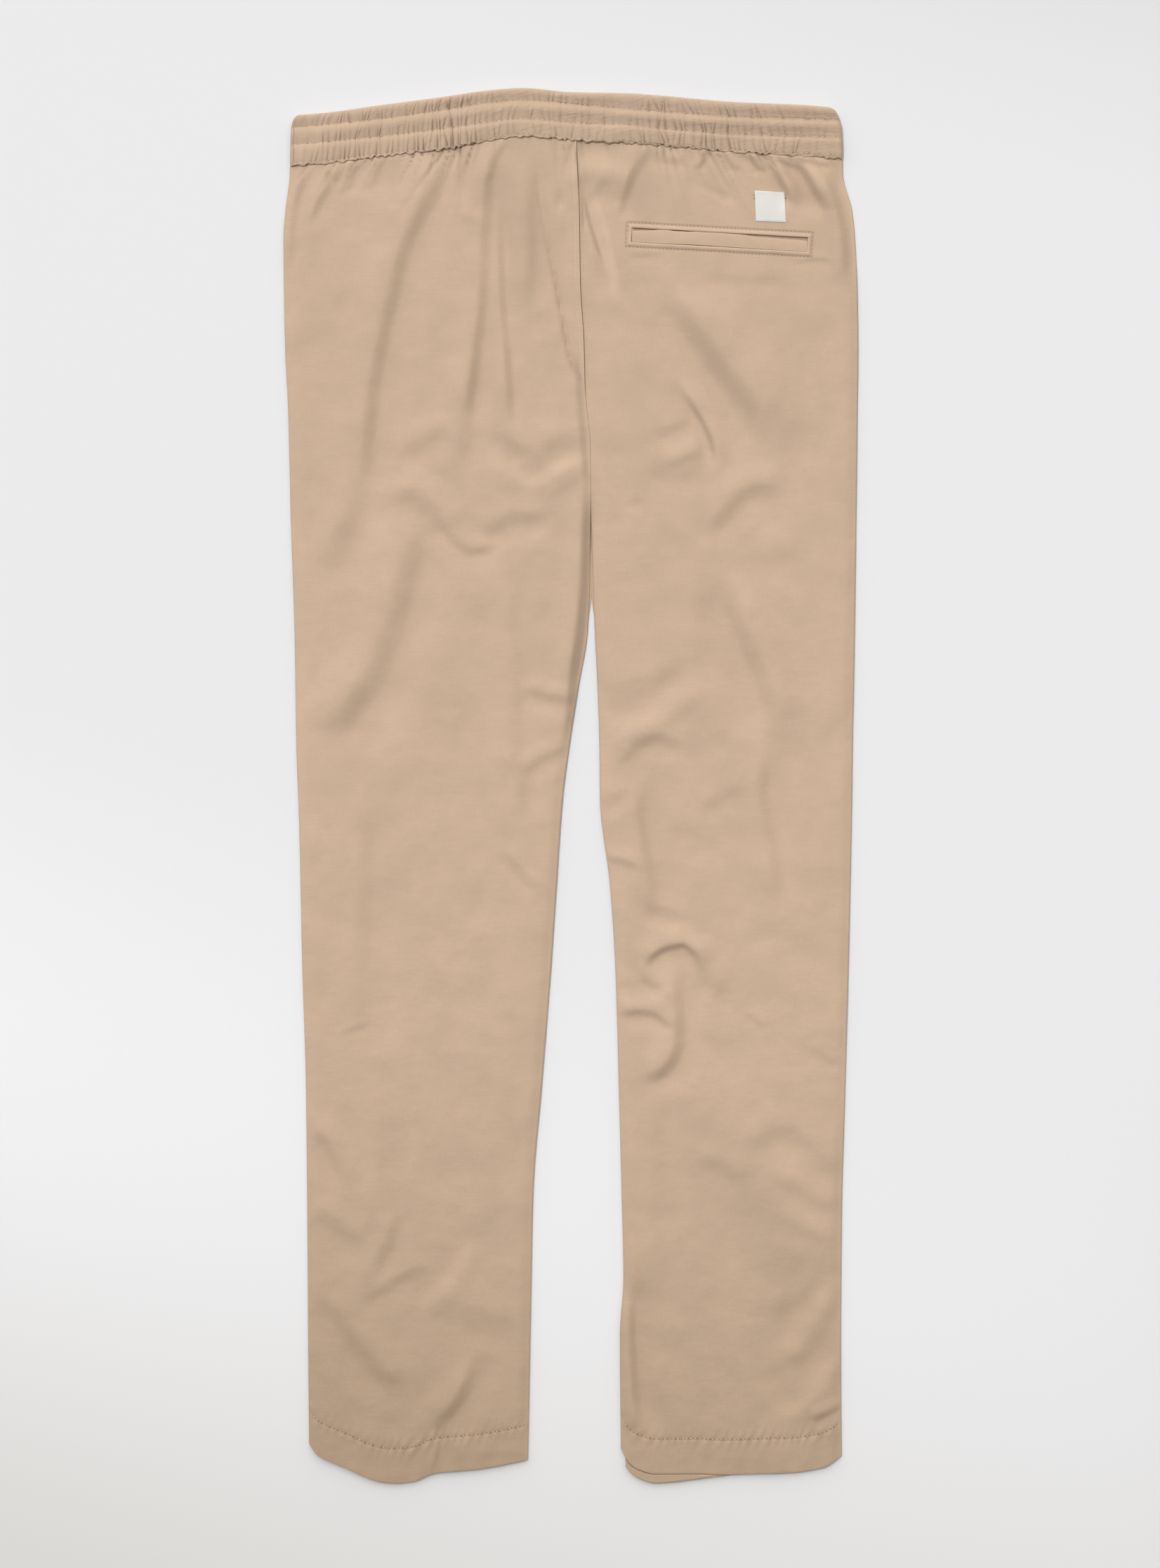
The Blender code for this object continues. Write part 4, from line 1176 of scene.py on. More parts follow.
    def row_stations(self) -> Array:
        """Nominal distances of the grid's rows, close together at the waist, pocket and hem."""
        middle = POCKET.down
        half = POCKET.half_height
        across = np.array([15.5, 13.8, 12.4, 11.4, 10.5, 9.7, 8.9, 8.1, 7.2, 6.5, half,
                           half - POCKET.wall, 3.2, 0.0])
        pocket_rows = middle + np.concatenate([-across, across[-2::-1]])
        above = stretches((TOP_AT, TOP_AT + 3.0, 0.6), (TOP_AT + 3.0, pocket_rows[0], 1.25))[:-1]
        hem_top = HEM_AT - HEM_HEIGHT
        lower = stretches(
            (hem_top - 14.0, hem_top - 2.5, 1.7), (hem_top - 2.5, hem_top + 2.5, 0.62),
            (hem_top + 2.5, hem_top + 8.0, 1.2), (hem_top + 8.0, HEM_AT - 2.0, 2.0),
            (HEM_AT - 2.0, HEM_AT, 0.4),
        )
        fixed = len(above) + len(pocket_rows) + len(lower) + 4
        spare = 601 - fixed
        spare -= (fixed + spare - 1) % self.step
        between = np.linspace(pocket_rows[-1], lower[0], spare + 6)[1:-1]
        return np.concatenate([above, pocket_rows, between, lower])

    def column_shares(self) -> Array:
        """Shares of the flat width, from the seam to the side, with lines at the pocket's ends."""
        start = self.inner_edge(POCKET.down) + self.side.value * self.seam_roll
        end = self.outer_edge(POCKET.down) - self.side.value * self.leg_roll
        width = abs(end - start)
        if self.pocket is None:
            return np.linspace(0.0, 1.0, 127)
        steps = np.array([-0.35, 0.0, 0.8, 1.7, 2.5, 3.2, 3.9, 4.6, 5.4, 6.4])
        left = POCKET.x - POCKET.half_length - steps[::-1] - start
        right = POCKET.x + POCKET.half_length + steps - start
        parts = [
            np.linspace(0.0, left[0], 20)[:-1], left,
            np.linspace(left[-1], right[0], 74)[1:-1], right,
            np.linspace(right[-1], width, 17)[1:],
        ]
        return np.concatenate(parts) / width

    def plan(self) -> tuple[Array, Array, Array]:
        """x, down and roll angle of each point of the grid.

        Columns run from the inner edge to the outer one: a rolled edge, the flat cloth and a rolled
        edge. Rows follow the waistband at the top, the pocket near it and the hem at the bottom.

        Returns:
            x and down of each point, and the angle of each column, 90 degrees on the flat cloth and
            -90 degrees at the end of the cloth that is tucked under.
        """
        shares = self.column_shares()
        nominal = self.row_stations()[:, None]
        roll = np.radians(self.roll_degrees)
        angle = np.concatenate([roll, np.full(len(shares), math.pi / 2), roll[::-1]])
        near_top = 1.0 - smooth_step((nominal - TOP_AT) / 52.0)
        near_pocket = 1.0 - smooth_step((np.abs(nominal - POCKET.down) - 17.0) / 43.0)
        near_hem = smooth_step((nominal - HEM_AT + 110.0) / 110.0)
        slope = -math.tan(POCKET.turn) if self.pocket is not None else 0.0
        down = nominal + np.zeros((1, len(angle)))
        for _ in range(PLAN_PASSES):
            x = self.across(down, shares, roll)
            down = (
                nominal
                + near_top * (self.band_line(x) - TOP_AT)
                + near_pocket * slope * np.clip(x - POCKET.x, -77.0, 77.0)
                + near_hem * (column(self.hem, "x", "down", x) - HEM_AT)
            )
        return x, down, np.broadcast_to(angle, x.shape)

    def across(self, down: Array, shares: Array, roll: Array, wall: float = 0.0) -> Array:
        """x of each column: (1 - cos angle) radii in from each edge on its roll, evenly between."""
        count = len(roll)
        open_ = self.openness(down[:, :count])
        over = self.seam_roll + (self.leg_roll - self.seam_roll) * open_
        under = 0.3 + (self.leg_tuck - 0.3) * open_
        inset = np.where(roll > 0.0, over, under) * (1.0 - np.cos(roll)) + wall * np.cos(roll)
        inner = self.inner_edge(down[:, :count]) + self.side.value * inset
        back = roll[::-1]
        inset = np.where(back > 0.0, self.leg_roll, self.leg_tuck) * (1.0 - np.cos(back)) + wall * np.cos(back)
        outer = self.outer_edge(down[:, -count:]) - self.side.value * inset
        flat_down = down[:, count:-count]
        open_ = self.openness(flat_down)
        start = self.inner_edge(flat_down) + self.side.value * (
            self.seam_roll + (self.leg_roll - self.seam_roll) * open_
        )
        end = self.outer_edge(flat_down) - self.side.value * self.leg_roll
        return np.hstack([inner, start + shares * (end - start), outer])

    def rolled(self, top: Array, angle: Array, down: Array, wall: float) -> Array:
        """Heights after the edges' roll: middle + (top - middle) sin angle, and less far under it."""
        count = len(self.roll_degrees)
        open_ = self.openness(down)
        open_[:, -count:] = 1.0
        middle = (1.0 - open_) * (top - self.seam_drop) + open_ * self.middle_height
        drop = (0.3 + (self.tuck_drop - 0.3) * open_) - 0.5 * wall
        z_over = middle + (top - wall - middle) * np.sin(angle)
        z_under = middle + drop * np.sin(angle)
        return np.where(angle > 0.0, z_over, z_under)

    def inner_face(self, top: Array, x: Array, down: Array, angle: Array) -> Array:
        """The coarse inner face: under the lowest height nearby, by the cloth's thickness."""
        step = self.step
        padded = np.pad(top, step, mode="edge")
        row_count, column_count = top.shape
        lowest = np.full(top[::step, ::step].shape, np.inf)
        for row in range(2 * step + 1):
            for place in range(2 * step + 1):
                near = padded[row : row + row_count : step, place : place + column_count : step]
                lowest = np.minimum(lowest, near)
        x, down, angle = x[::step, ::step], down[::step, ::step], angle[::step, ::step]
        over_hem = down - column(self.hem, "x", "down", x) + HEM_HEIGHT
        wall = self.wall + (self.hem_wall - self.wall) * smooth_step(over_hem / 3.0 + 0.5)
        z = self.rolled(np.maximum(lowest, REST + 1.0), angle, down, wall)
        inward = 0.7 * self.wall * np.cos(angle)
        from_inside = np.abs(x - self.inner_edge(down)) < np.abs(x - self.outer_edge(down))
        x = x + inward * self.side.value * np.where(from_inside, 1.0, -1.0)
        return np.stack([x, down, z], axis=-1)

    def build(self) -> bpy.types.Object:
        """Makes the panel's shell.

        Returns:
            The panel's object.
        """
        x, down, angle = self.plan()
        top = self.surface(x, down)
        z = self.rolled(top, angle, down, 0.0)
        inner = self.inner_face(top, x, down, angle)
        over_hem = down - column(self.hem, "x", "down", x) + HEM_HEIGHT
        # Paler at the hem's folded edge and just below its stitch row; painted shade in the stitch groove and in the
        # hollows between the hem's puckers.
        wear_and_painted_light = 0.5 * smooth_step((over_hem - HEM_HEIGHT + 1.4) / 1.2)
        wear_and_painted_light += 0.15 * bell((over_hem - 1.8) / 1.2) - 0.35 * bell(over_hem / 0.8)
        wear_and_painted_light -= 0.6 * bell(over_hem / 2.2) * np.maximum(np.sin(self.pucker_phase(x)), 0.0)
        # Painted shade in the folds that run out from under the waistband, darker where they are deeper.
        below = np.maximum(down - self.band_line(x), 0.0)
        wear_and_painted_light += 0.45 * GATHERS.under_band(x, below)
        # Painted light: paler along each leg's right-hand edge, against the shade that its rolled edge gets from the
        # light.
        from_inside = np.abs(x - self.inner_edge(down))
        right_edge = self.outer_edge(down) if self.side is Side.RIGHT else self.inner_edge(down)
        opened = 1.0 if self.side is Side.RIGHT else self.openness(down)
        wear_and_painted_light += 0.9 * opened * bell((x - right_edge) / 2.6)
        if self.side is Side.LEFT:
            wear_and_painted_light += 0.2 * bell((from_inside - 0.8) / 1.0) * (1.0 - self.openness(down))
        if self.pocket is not None:
            along, across = self.pocket.local(x, down)
            outside = np.maximum(np.abs(along) - POCKET.half_length, np.abs(across) - POCKET.half_height)
            # Paler round the window's edge and the frame; painted shade in the frame's stitch groove and just inside
            # the window's edge.
            wear_and_painted_light += 0.6 * bell((outside - 0.8) / 1.0) + 0.25 * bell((outside - 2.4) / 1.0)
            wear_and_painted_light -= 1.0 * bell((outside - POCKET.frame_width) / 0.9) + 0.6 * bell((outside + 0.3) / 0.6)
        # Painted shade and painted highlights along folds.
        for line in PAINTED_LIGHT_LINES:
            wear_and_painted_light += line.rise(x, down)
        if self.side is Side.LEFT:
            x, down, z, wear_and_painted_light, inner = (part[:, ::-1] for part in (x, down, z, wear_and_painted_light, inner))
        points = np.concatenate([to_frame(x, down, z).reshape(-1, 3),
                                 to_frame(inner[..., 0], inner[..., 1], inner[..., 2]).reshape(-1, 3)])
        places = np.concatenate([np.stack([x, down], axis=-1).reshape(-1, 2), inner[..., :2].reshape(-1, 2)])
        wear_and_painted_light = np.concatenate([np.clip(wear_and_painted_light, -1.0, 1.0).ravel(), np.zeros(inner[..., 0].size)])
        faces = shell_faces(x.shape, self.step)
        return make_object(self.name() + "_cloth", points, faces, [Finish.TWILL.made()],
                           cloth=places * MM, wear_and_painted_light=wear_and_painted_light)


@dataclass
class FrontPanel:
    """One front leg panel, flat on the surface under the back one, with its turned hem."""

    side: Side
    hem: tuple[HemRow, ...]
    inset: float = 3.6
    under: float = 0.15
    over: float = 1.0
    hem_over: float = 1.65
    meet: float = 400.0  # as far down as the two front panels lie edge to edge
    lip: float = 2.4  # higher where the hem shows beyond the back one
    column_count: int = 61
    row_count: int = 221

    def name(self) -> str:
        """The CAD node's name."""
        return "front_" + self.side.name.lower()

    def build(self) -> bpy.types.Object:
        """Makes the panel's shell: level, thicker in the hem, with a rounded lower edge.

        Returns:
            The panel's object.
        """
        share = np.linspace(0.0, 1.0, self.column_count)[None, :]
        nominal = np.concatenate([
            np.linspace(TOP_AT, HEM_AT - HEM_HEIGHT - 2.0, self.row_count - 43),
            np.linspace(HEM_AT - HEM_HEIGHT - 1.0, HEM_AT - 9.5, 17),
            np.linspace(HEM_AT - 9.0, HEM_AT, 26),
        ])[:, None]
        near_top = 1.0 - smooth_step((nominal - TOP_AT) / 52.0)
        near_hem = smooth_step((nominal - HEM_AT + 110.0) / 110.0)
        down = nominal + 0.0 * share
        way = self.side.value
        for _ in range(PLAN_PASSES):
            open_ = smooth_step((down - CROTCH_DOWN) / CROTCH_REACH)
            start = column(MIDDLE, "down", self.side.name.lower(), down)
            middle = 0.5 * (column(MIDDLE, "down", "left", down) + column(MIDDLE, "down", "right", down))
            apart = smooth_step((down - self.meet) / 50.0)
            start = middle + apart * (start - middle) + way * (SEAM_GAP / 2 + self.inset * open_ * apart)
            end = column(SIDES, "down", self.side.name.lower(), down) - way * self.inset
            x = start + share * (end - start)
            down = (
                nominal
                + near_top * (band_edge("bottom", x) + 1.0 - TOP_AT)
                + near_hem * (column(self.hem, "x", "down", x) - HEM_AT)
            )
        over_hem = down - column(self.hem, "x", "down", x) + HEM_HEIGHT
        rounded = 0.5 * np.square(np.clip((over_hem - HEM_HEIGHT + 1.6) / 1.6, 0.0, 1.0))
        top = self.over + (self.hem_over - self.over) * smooth_step(over_hem / 2.0 + 0.5) - rounded
        top = top + 0.05 * np.sin(x * 0.31 + 1.1 * np.sin(x / 15.0)) * smooth_step(over_hem / 4.0)
        beyond = down - column(HEM_RIGHT_BACK, "x", "down", x)
        top = top + (self.side is Side.RIGHT) * self.lip * smooth_step((beyond - 0.05) / 0.85)
        bottom = np.full_like(top, self.under) + 0.4 * rounded
        if self.side is Side.LEFT:
            x, down, top, bottom = (part[:, ::-1] for part in (x, down, top, bottom))
        points = np.concatenate([to_frame(x, down, top).reshape(-1, 3), to_frame(x, down, bottom).reshape(-1, 3)])
        places = np.tile(np.stack([x, down], axis=-1).reshape(-1, 2), (2, 1)) * MM
        wear_and_painted_light = np.tile(0.6 * smooth_step((over_hem - HEM_HEIGHT + 4.0) / 3.0).ravel(), 2)
        return make_object(self.name() + "_cloth", points, shell_faces(x.shape, 1), [Finish.TWILL.made()],
                           cloth=places, wear_and_painted_light=wear_and_painted_light)


# ---------------------------------------------------------------- waistband

@dataclass
class Waistband:
    """The elastic waistband: one flattened ring with three puffed channels, gathered all along."""

    under_wall: float = 3.0
    slot: float = 0.8
    under: float = 0.15
    under_columns: int = 60
    turn_steps: int = 9
    inner_rows: int = 9
    painted_gather_shade: float = 0.55  # how much painted shade darkens a gather 1 mm deep
    profile: tuple[HeightRow, ...] = rows(
        HeightRow,
        (0.0, 4.5), (0.03, 5.4), (0.09, 6.58), (0.2, 7.13), (0.36, 7.34), (0.55, 7.07), (0.75, 6.58),
        (0.9, 6.19), (0.97, 5.95), (1.0, 5.81), (1.03, 6.02), (1.1, 6.58), (1.22, 7.13), (1.38, 7.42),
        (1.55, 7.24), (1.75, 6.75), (1.9, 6.29), (1.97, 6.02), (2.0, 5.88), (2.03, 6.08), (2.1, 6.64),
        (2.22, 7.13), (2.38, 7.34), (2.6, 7.28), (2.8, 7.07), (2.93, 6.79), (2.98, 6.54), (3.0, 6.43),
        (3.2, 6.61), (3.5, 6.64), (3.75, 6.43), (3.93, 5.7), (4.0, 5.0),
    )
    depths: tuple[HeightRow, ...] = rows(
        HeightRow, (0.0, 0.2), (0.45, 0.5), (0.85, 0.85), (1.0, 0.6), (1.18, 0.2), (1.4, 0.3), (1.8, 1.0),
        (2.0, 0.8), (2.16, 0.4), (2.5, 0.75), (2.85, 1.0), (3.0, 0.9), (3.4, 0.55), (4.0, 0.5),
    )
    stations: tuple[float, ...] = (
        0.0, 0.015, 0.04, 0.09, 0.16, 0.26, 0.38, 0.52, 0.66, 0.8, 0.9, 0.96, 1.0, 1.03, 1.08, 1.15,
        1.24, 1.36, 1.5, 1.65, 1.8, 1.9, 1.96, 2.0, 2.03, 2.08, 2.15, 2.24, 2.36, 2.5, 2.66, 2.82,
        2.92, 2.97, 3.0, 3.12, 3.35, 3.6, 3.8, 3.93, 4.0,
    )
    between: tuple[float, ...] = (0.0, 0.09, 0.21, 0.36, 0.5, 0.64, 0.79, 0.91)

    @staticmethod
    def bottom_edge(x: Array) -> Array:
        """The lower edge: its line, nicked upward at each gather and swaying in two uneven waves."""
        places, depth, _ = GATHERS.valleys()
        at, deep = places[-1], depth[-1]
        k = np.clip(np.searchsorted(at, x) - 1, 0, len(at) - 2)
        share = (x - at[k]) / (at[k + 1] - at[k])
        nick = deep[k] * bell(share / 0.26) + deep[k + 1] * bell((1.0 - share) / 0.26)
        sway = 0.55 * np.sin(x * 0.47 + 1.6 * np.sin(x / 9.0))
        ruffle = (0.5 + 0.2 * np.sin(x / 31.0)) * np.sin(x * 0.93 + 1.8 * np.sin(x / 8.0))
        return band_edge("bottom", x) - 0.8 * nick + sway + ruffle

    def down_at(self, x: Array, station: float) -> Array:
        """How far down a row of the band runs: between two of its edges by the station's fraction."""
        k = min(int(station), len(BAND_EDGES) - 2)
        share = station - k
        above = band_edge(BAND_EDGES[k], x)
        below = self.bottom_edge(x) if k == len(BAND_EDGES) - 2 else band_edge(BAND_EDGES[k + 1], x)
        return above + share * (below - above)

    def ends(self, station: float) -> tuple[float, float]:
        """x of the outline's two ends along a row."""
        left = BAND[0].x + column(BAND_END_LEFT, "at", "height", station)
        right = BAND[-1].x - column(BAND_END_RIGHT, "at", "height", station)
        return float(left), float(right)

    def valleys_at(self, station: float) -> tuple[Array, Array]:
        """Where the valleys lie along a row, and their depths, between those of its two edges."""
        places, depth, _ = GATHERS.valleys()
        k = min(int(station), len(BAND_EDGES) - 2)
        share = station - k
        at = (1.0 - share) * places[k] + share * places[k + 1]
        deep = (1.0 - share) * depth[k] + share * depth[k + 1]
        return at, deep * float(column(self.depths, "at", "height", station))

    def valley_at(self, x: Array, station: float) -> Array:
        """How deep the gathers lie along a row: d (1 - q)^2.2, q the distance in half spacings."""
        at, deep = self.valleys_at(station)
        k = np.clip(np.searchsorted(at, x, side="right") - 1, 0, len(at) - 2)
        share = (x - at[k]) / (at[k + 1] - at[k])
        valley = deep[k] * np.clip(1.0 - 2.0 * share, 0.0, 1.0) ** 2.2
        return valley + deep[k + 1] * np.clip(2.0 * share - 1.0, 0.0, 1.0) ** 2.2

    def height_at(self, x: Array, station: float) -> Array:
        """Height of the upper layer along a row: its profile less the gathers' valleys.

        Args:
            x: places along the row.
            station: the row, 0 at the band's top, 1 to 3 at its stitch rows and 4 at its lower edge.

        Returns:
            z at each place.
        """
        valley = self.valley_at(x, station)
        puff = float(column(self.profile, "at", "height", station))
        wave = 0.25 * np.sin(x / 23.0 + 2.0 * station) + 0.18 * np.sin(x / 9.7 + 1.4 * station)
        lower = 0.45 * float(smooth_step(station - 3.0)) * smooth_step((x + 70.0) / 70.0)
        wave = wave + 0.16 * np.sin(x / 2.6 + 3.0 * np.sin(x / 17.0) + 1.3 * station)
        height = puff - lower - 0.95 * valley + wave * (0.4 if station <= 0.1 else 1.0)
        return np.maximum(height, self.under_wall + self.slot + 0.5)

    def ring(self, station: float) -> tuple[Array, Array, Array, Array]:
        """One closed section of the outer face: upper layer, right turn, lower layer, left turn.

        Args:
            station: the row.

        Returns:
            x and z of its points, their distance round the ring, and how deep in a gather they lie.
        """
        at, _ = self.valleys_at(station)
        x = (at[:-1, None] + np.diff(at)[:, None] * np.asarray(self.between)).ravel()
        x = np.append(x, at[-1])
        z = self.height_at(x, station)
        dark = np.zeros(len(x) + self.under_columns + 2 * (self.turn_steps - 1))
        dark[: len(x)] = self.valley_at(x, station)
        left, right = self.ends(station)
        half = (z[[0, -1]] - self.under) / 2.0
        start, end = left + half[0], right - half[1]
        x = start + (x - x[0]) / (x[-1] - x[0]) * (end - start)
        turn = np.linspace(0.0, math.pi, self.turn_steps + 1)[1:-1]
        lower_x = np.linspace(end, start, self.under_columns)
        low = self.under + 2.1 * (1.0 - smooth_step(station / 0.14))
        drop = (low - self.under) * 0.5 * (1.0 - np.cos(turn))
        ring_x = [x, end + half[1] * np.sin(turn), lower_x, start - half[0] * np.sin(turn)]
        ring_z = [
            z,
            self.under + half[1] * (1.0 + np.cos(turn)) + drop,
            np.full(self.under_columns, low),
            self.under + half[0] * (1.0 - np.cos(turn)) + drop[::-1],
        ]
        x, z = np.concatenate(ring_x), np.concatenate(ring_z)
        round_ = np.concatenate([[0.0], np.cumsum(np.hypot(np.diff(x), np.diff(z)))])
        return x, z, round_, dark

    def slot_ring(self, outer_x: Array, upper: int) -> tuple[Array, Array]:
        """The inner face behind one section: the same columns round the flat slot inside.

        Args:
            outer_x: x of the outer section's points.
            upper: how many of them are on the upper layer.

        Returns:
            x and z of the inner points.
        """
        turn = np.linspace(0.0, math.pi, self.turn_steps + 1)[1:-1]
        start, end = outer_x[0], outer_x[upper - 1]
        middle, half = self.under_wall + self.slot / 2, self.slot / 2
        lower_x = np.linspace(end, start, self.under_columns)
        x = [outer_x[:upper], end + half * np.sin(turn), lower_x, start - half * np.sin(turn)]
        z = [
            np.full(upper, middle + half),
            middle + half * np.cos(turn),
            np.full(self.under_columns, middle - half),
            middle - half * np.cos(turn),
        ]
        return np.concatenate(x), np.concatenate(z)

    def build(self) -> bpy.types.Object:
        """Makes the ring: its outer rows from top to bottom, then its inner rows back up.

        Returns:
            The waistband's object.
        """
        loops, places, wear_and_painted_light = [], [], []
        for station in self.stations:
            x, z, round_, dark = self.ring(station)
            down = self.down_at(x, station)
            loops.append(to_frame(x, down, z))
            places.append(np.stack([round_, down], axis=-1))
            # Paler at the top edge and near the lower edge; painted shade in the gathers' valleys.
            rubbed = 0.2 * bell(station / 0.12) + 0.27 * bell((station - 3.6) / 0.4)
            wear_and_painted_light.append(rubbed - np.minimum(self.painted_gather_shade * dark, 1.0))
            upper = len(x) - self.under_columns - 2 * (self.turn_steps - 1)
        for share in np.linspace(1.0, 0.0, self.inner_rows):
            station = 4.0 * float(share)
            nearest = min(self.stations, key=lambda other: abs(other - station))
            outer_x, _, round_, _ = self.ring(nearest)
            x, z = self.slot_ring(outer_x, upper)
            down = self.down_at(x, station)
            loops.append(to_frame(x, down, z))
            places.append(np.stack([round_, down], axis=-1))
            wear_and_painted_light.append(np.zeros(len(x)))
        points = np.array(loops)
        count, round_count = points.shape[:2]
        index = np.arange(count * round_count).reshape(count, round_count)
        below, after = np.roll(index, -1, axis=0), np.roll(index, -1, axis=1)
        corner = np.roll(below, -1, axis=1)
        faces = np.stack([part.ravel() for part in (index, below, corner, after)], axis=1)
        return make_object("waistband_cloth", points, faces.tolist(), [Finish.TWILL_BAND.made()],
                           cloth=np.array(places) * MM, wear_and_painted_light=np.array(wear_and_painted_light), sharp_degrees=75.0)


# ---------------------------------------------------------------- pocket strip and label

@dataclass
class PocketStrip:
    """The folded strip in the back pocket's window, with the uneven slit over its folded edge."""

    height: Height
    place: PocketPlace = POCKET
    clearance: float = 0.35
    thickness: float = 1.25
    columns: int = 150
    slit: tuple[HeightRow, ...] = rows(
        HeightRow, (-70.0, 2.2), (-62.0, 1.8), (-55.0, 1.2), (-49.0, 0.3), (-42.0, 0.2), (-36.0, 0.8),
        (-27.0, 0.8), (-19.0, 0.2), (0.0, 0.2), (18.0, 0.4), (27.0, 1.6), (50.0, 2.2), (70.0, 2.6),
    )

    def build(self) -> bpy.types.Object:
        """Makes the strip: a flat closed tube of cloth whose folded edge is rounded.

        Its section runs over the top from the window's lower edge to the fold, round the fold and
        back underneath. The top swells as a sine and has a few small wrinkles along it.

        Returns:
            The strip's object.
        """
        place = self.place
        end = place.half_length - self.clearance
        along = np.linspace(-end, end, self.columns)
        foot = -place.half_height + self.clearance + 0.45 * bell((along + 11.0) / 26.0)
        fold = place.half_height - column(self.slit, "at", "height", along)
        half = self.thickness / 2
        top = np.linspace(0.0, 1.0, 14)
        turn = np.linspace(0.0, math.pi, 8)[1:-1]
        share = np.concatenate([top, np.full(len(turn), 1.0), top[::-1]])[:, None]
        out = np.concatenate([np.zeros(14), np.sin(turn), np.zeros(14)])[:, None] * half
        rise = np.concatenate([np.ones(14), np.cos(turn), -np.ones(14)])[:, None] * half
        swell = np.concatenate([np.sin(math.pi * top) * 0.28, np.zeros(len(turn)), np.zeros(14)])[:, None]
        across = foot + share * (fold - half - foot) + out
        wrinkle = 0.16 * np.sin(along * 0.9 + 2.0 * np.sin(along / 6.0)) * bell((along + 27.0) / 16.0)
        wrinkle = wrinkle + 0.05 * np.sin(along * 0.55 + 1.5 * np.sin(along / 11.0))
        wrinkle = wrinkle * np.where(rise > 0.0, share, 0.0)
        x, down = place.placed(np.broadcast_to(along, across.shape), across)
        panel = self.height(x, down) + place.depth - place.frame_rise
        middle_x, middle_down = place.placed(along, np.zeros_like(along))
        level = self.height(middle_x, middle_down)[None, :] + 0.0 * panel
        z = level + 0.35 + half + rise + swell + wrinkle
        z = z + 0.35 * share * (rise > 0.0)
        points = to_frame(x, down, z)
        count, length = across.shape
        index = np.arange(count * length).reshape(count, length)
        below, after = np.roll(index, -1, axis=0), index[:, 1:]
        faces = np.stack([index[:, :-1].ravel(), below[:, :-1].ravel(), below[:, 1:].ravel(), after.ravel()], axis=1)
        faces = [*faces[:, ::-1].tolist(), index[:, 0].tolist(), index[::-1, -1].tolist()]
        places = np.stack([np.broadcast_to(along, across.shape), share * fold * 2.0 + 0.0 * across], axis=-1) * MM
        # Painted light: paler all over against the shade of the window that it lies sunk in, and paler still along
        # its folded edge.
        wear_and_painted_light = np.clip(0.3 + 0.4 * bell((share - 1.0) / 0.12) * (rise > -half), 0.0, 1.0) + 0.0 * across
        return make_object("pocket_strip_cloth", points, faces, [Finish.TWILL.made()], cloth=places, wear_and_painted_light=wear_and_painted_light)


@dataclass
class Label:
    """The small woven label, blank, lying over the pocket with its corners a little lifted."""

    height: Height
    x: float = 158.7
    down: float = 94.6
    turn: float = math.radians(-2.2)
    lean: float = math.radians(2.6)  # it is sewn on a little askew
    width: float = 23.8
    length: float = 24.4
    thickness: float = 0.5
    lift: float = 0.35
    cells: int = 28

    def placed(self, along: Array, across: Array) -> tuple[Array, Array]:
        """x and down of points on the label."""
        x = self.x + along * math.cos(self.turn) - across * math.sin(self.lean)
        down = self.down - along * math.sin(self.turn) - across * math.cos(self.lean)
        return x, down

    def build(self) -> bpy.types.Object:
        """Makes the label: a closed sheet that follows the panel, thinned towards its edges.

        Returns:
            The label's object.
        """
        ease = np.sin(np.linspace(-math.pi / 2, math.pi / 2, self.cells + 1))
        even = np.linspace(-1.0, 1.0, self.cells + 1)
        share = 0.7 * even + 0.3 * ease
        along, across = np.meshgrid(share * self.width / 2, -share * self.length / 2)
        x, down = self.placed(along, across)
        smooth = sum(self.height(x + dx, down + dd) for dx, dd in ((-3, 0), (3, 0), (0, -3), (0, 3), (0, 0))) / 5.0
        base = np.maximum(smooth, self.height(x, down)) + 0.08
        corner = (np.abs(along) / (self.width / 2)) ** 4 * (np.abs(across) / (self.length / 2)) ** 4
        edge = np.minimum(self.width / 2 - np.abs(along), self.length / 2 - np.abs(across))
        round_ = 0.16 * np.square(np.clip(1.0 - edge / 0.5, 0.0, 1.0))
        bottom = base + self.lift * corner + round_
        top = bottom + self.thickness - 2.0 * round_ + 0.12 * bell((edge - 1.6) / 0.8)
        points = np.concatenate([to_frame(x, down, top).reshape(-1, 3), to_frame(x, down, bottom).reshape(-1, 3)])
        places = np.tile(np.stack([along, across], axis=-1).reshape(-1, 2), (2, 1)) * MM
        return make_object("label_tape", points, shell_faces(x.shape, 1), [Finish.TAPE.made()],
                           cloth=places, wear_and_painted_light=np.zeros(len(points)))


# ---------------------------------------------------------------- sewing

class StitchLine(NamedTuple):
    """A row of stitches: its points, the cloth's height over them, and the stitches' sizes."""

    x: Array
    down: Array
    height: Height
    pitch: float
    length: float
    thick: float = 0.42


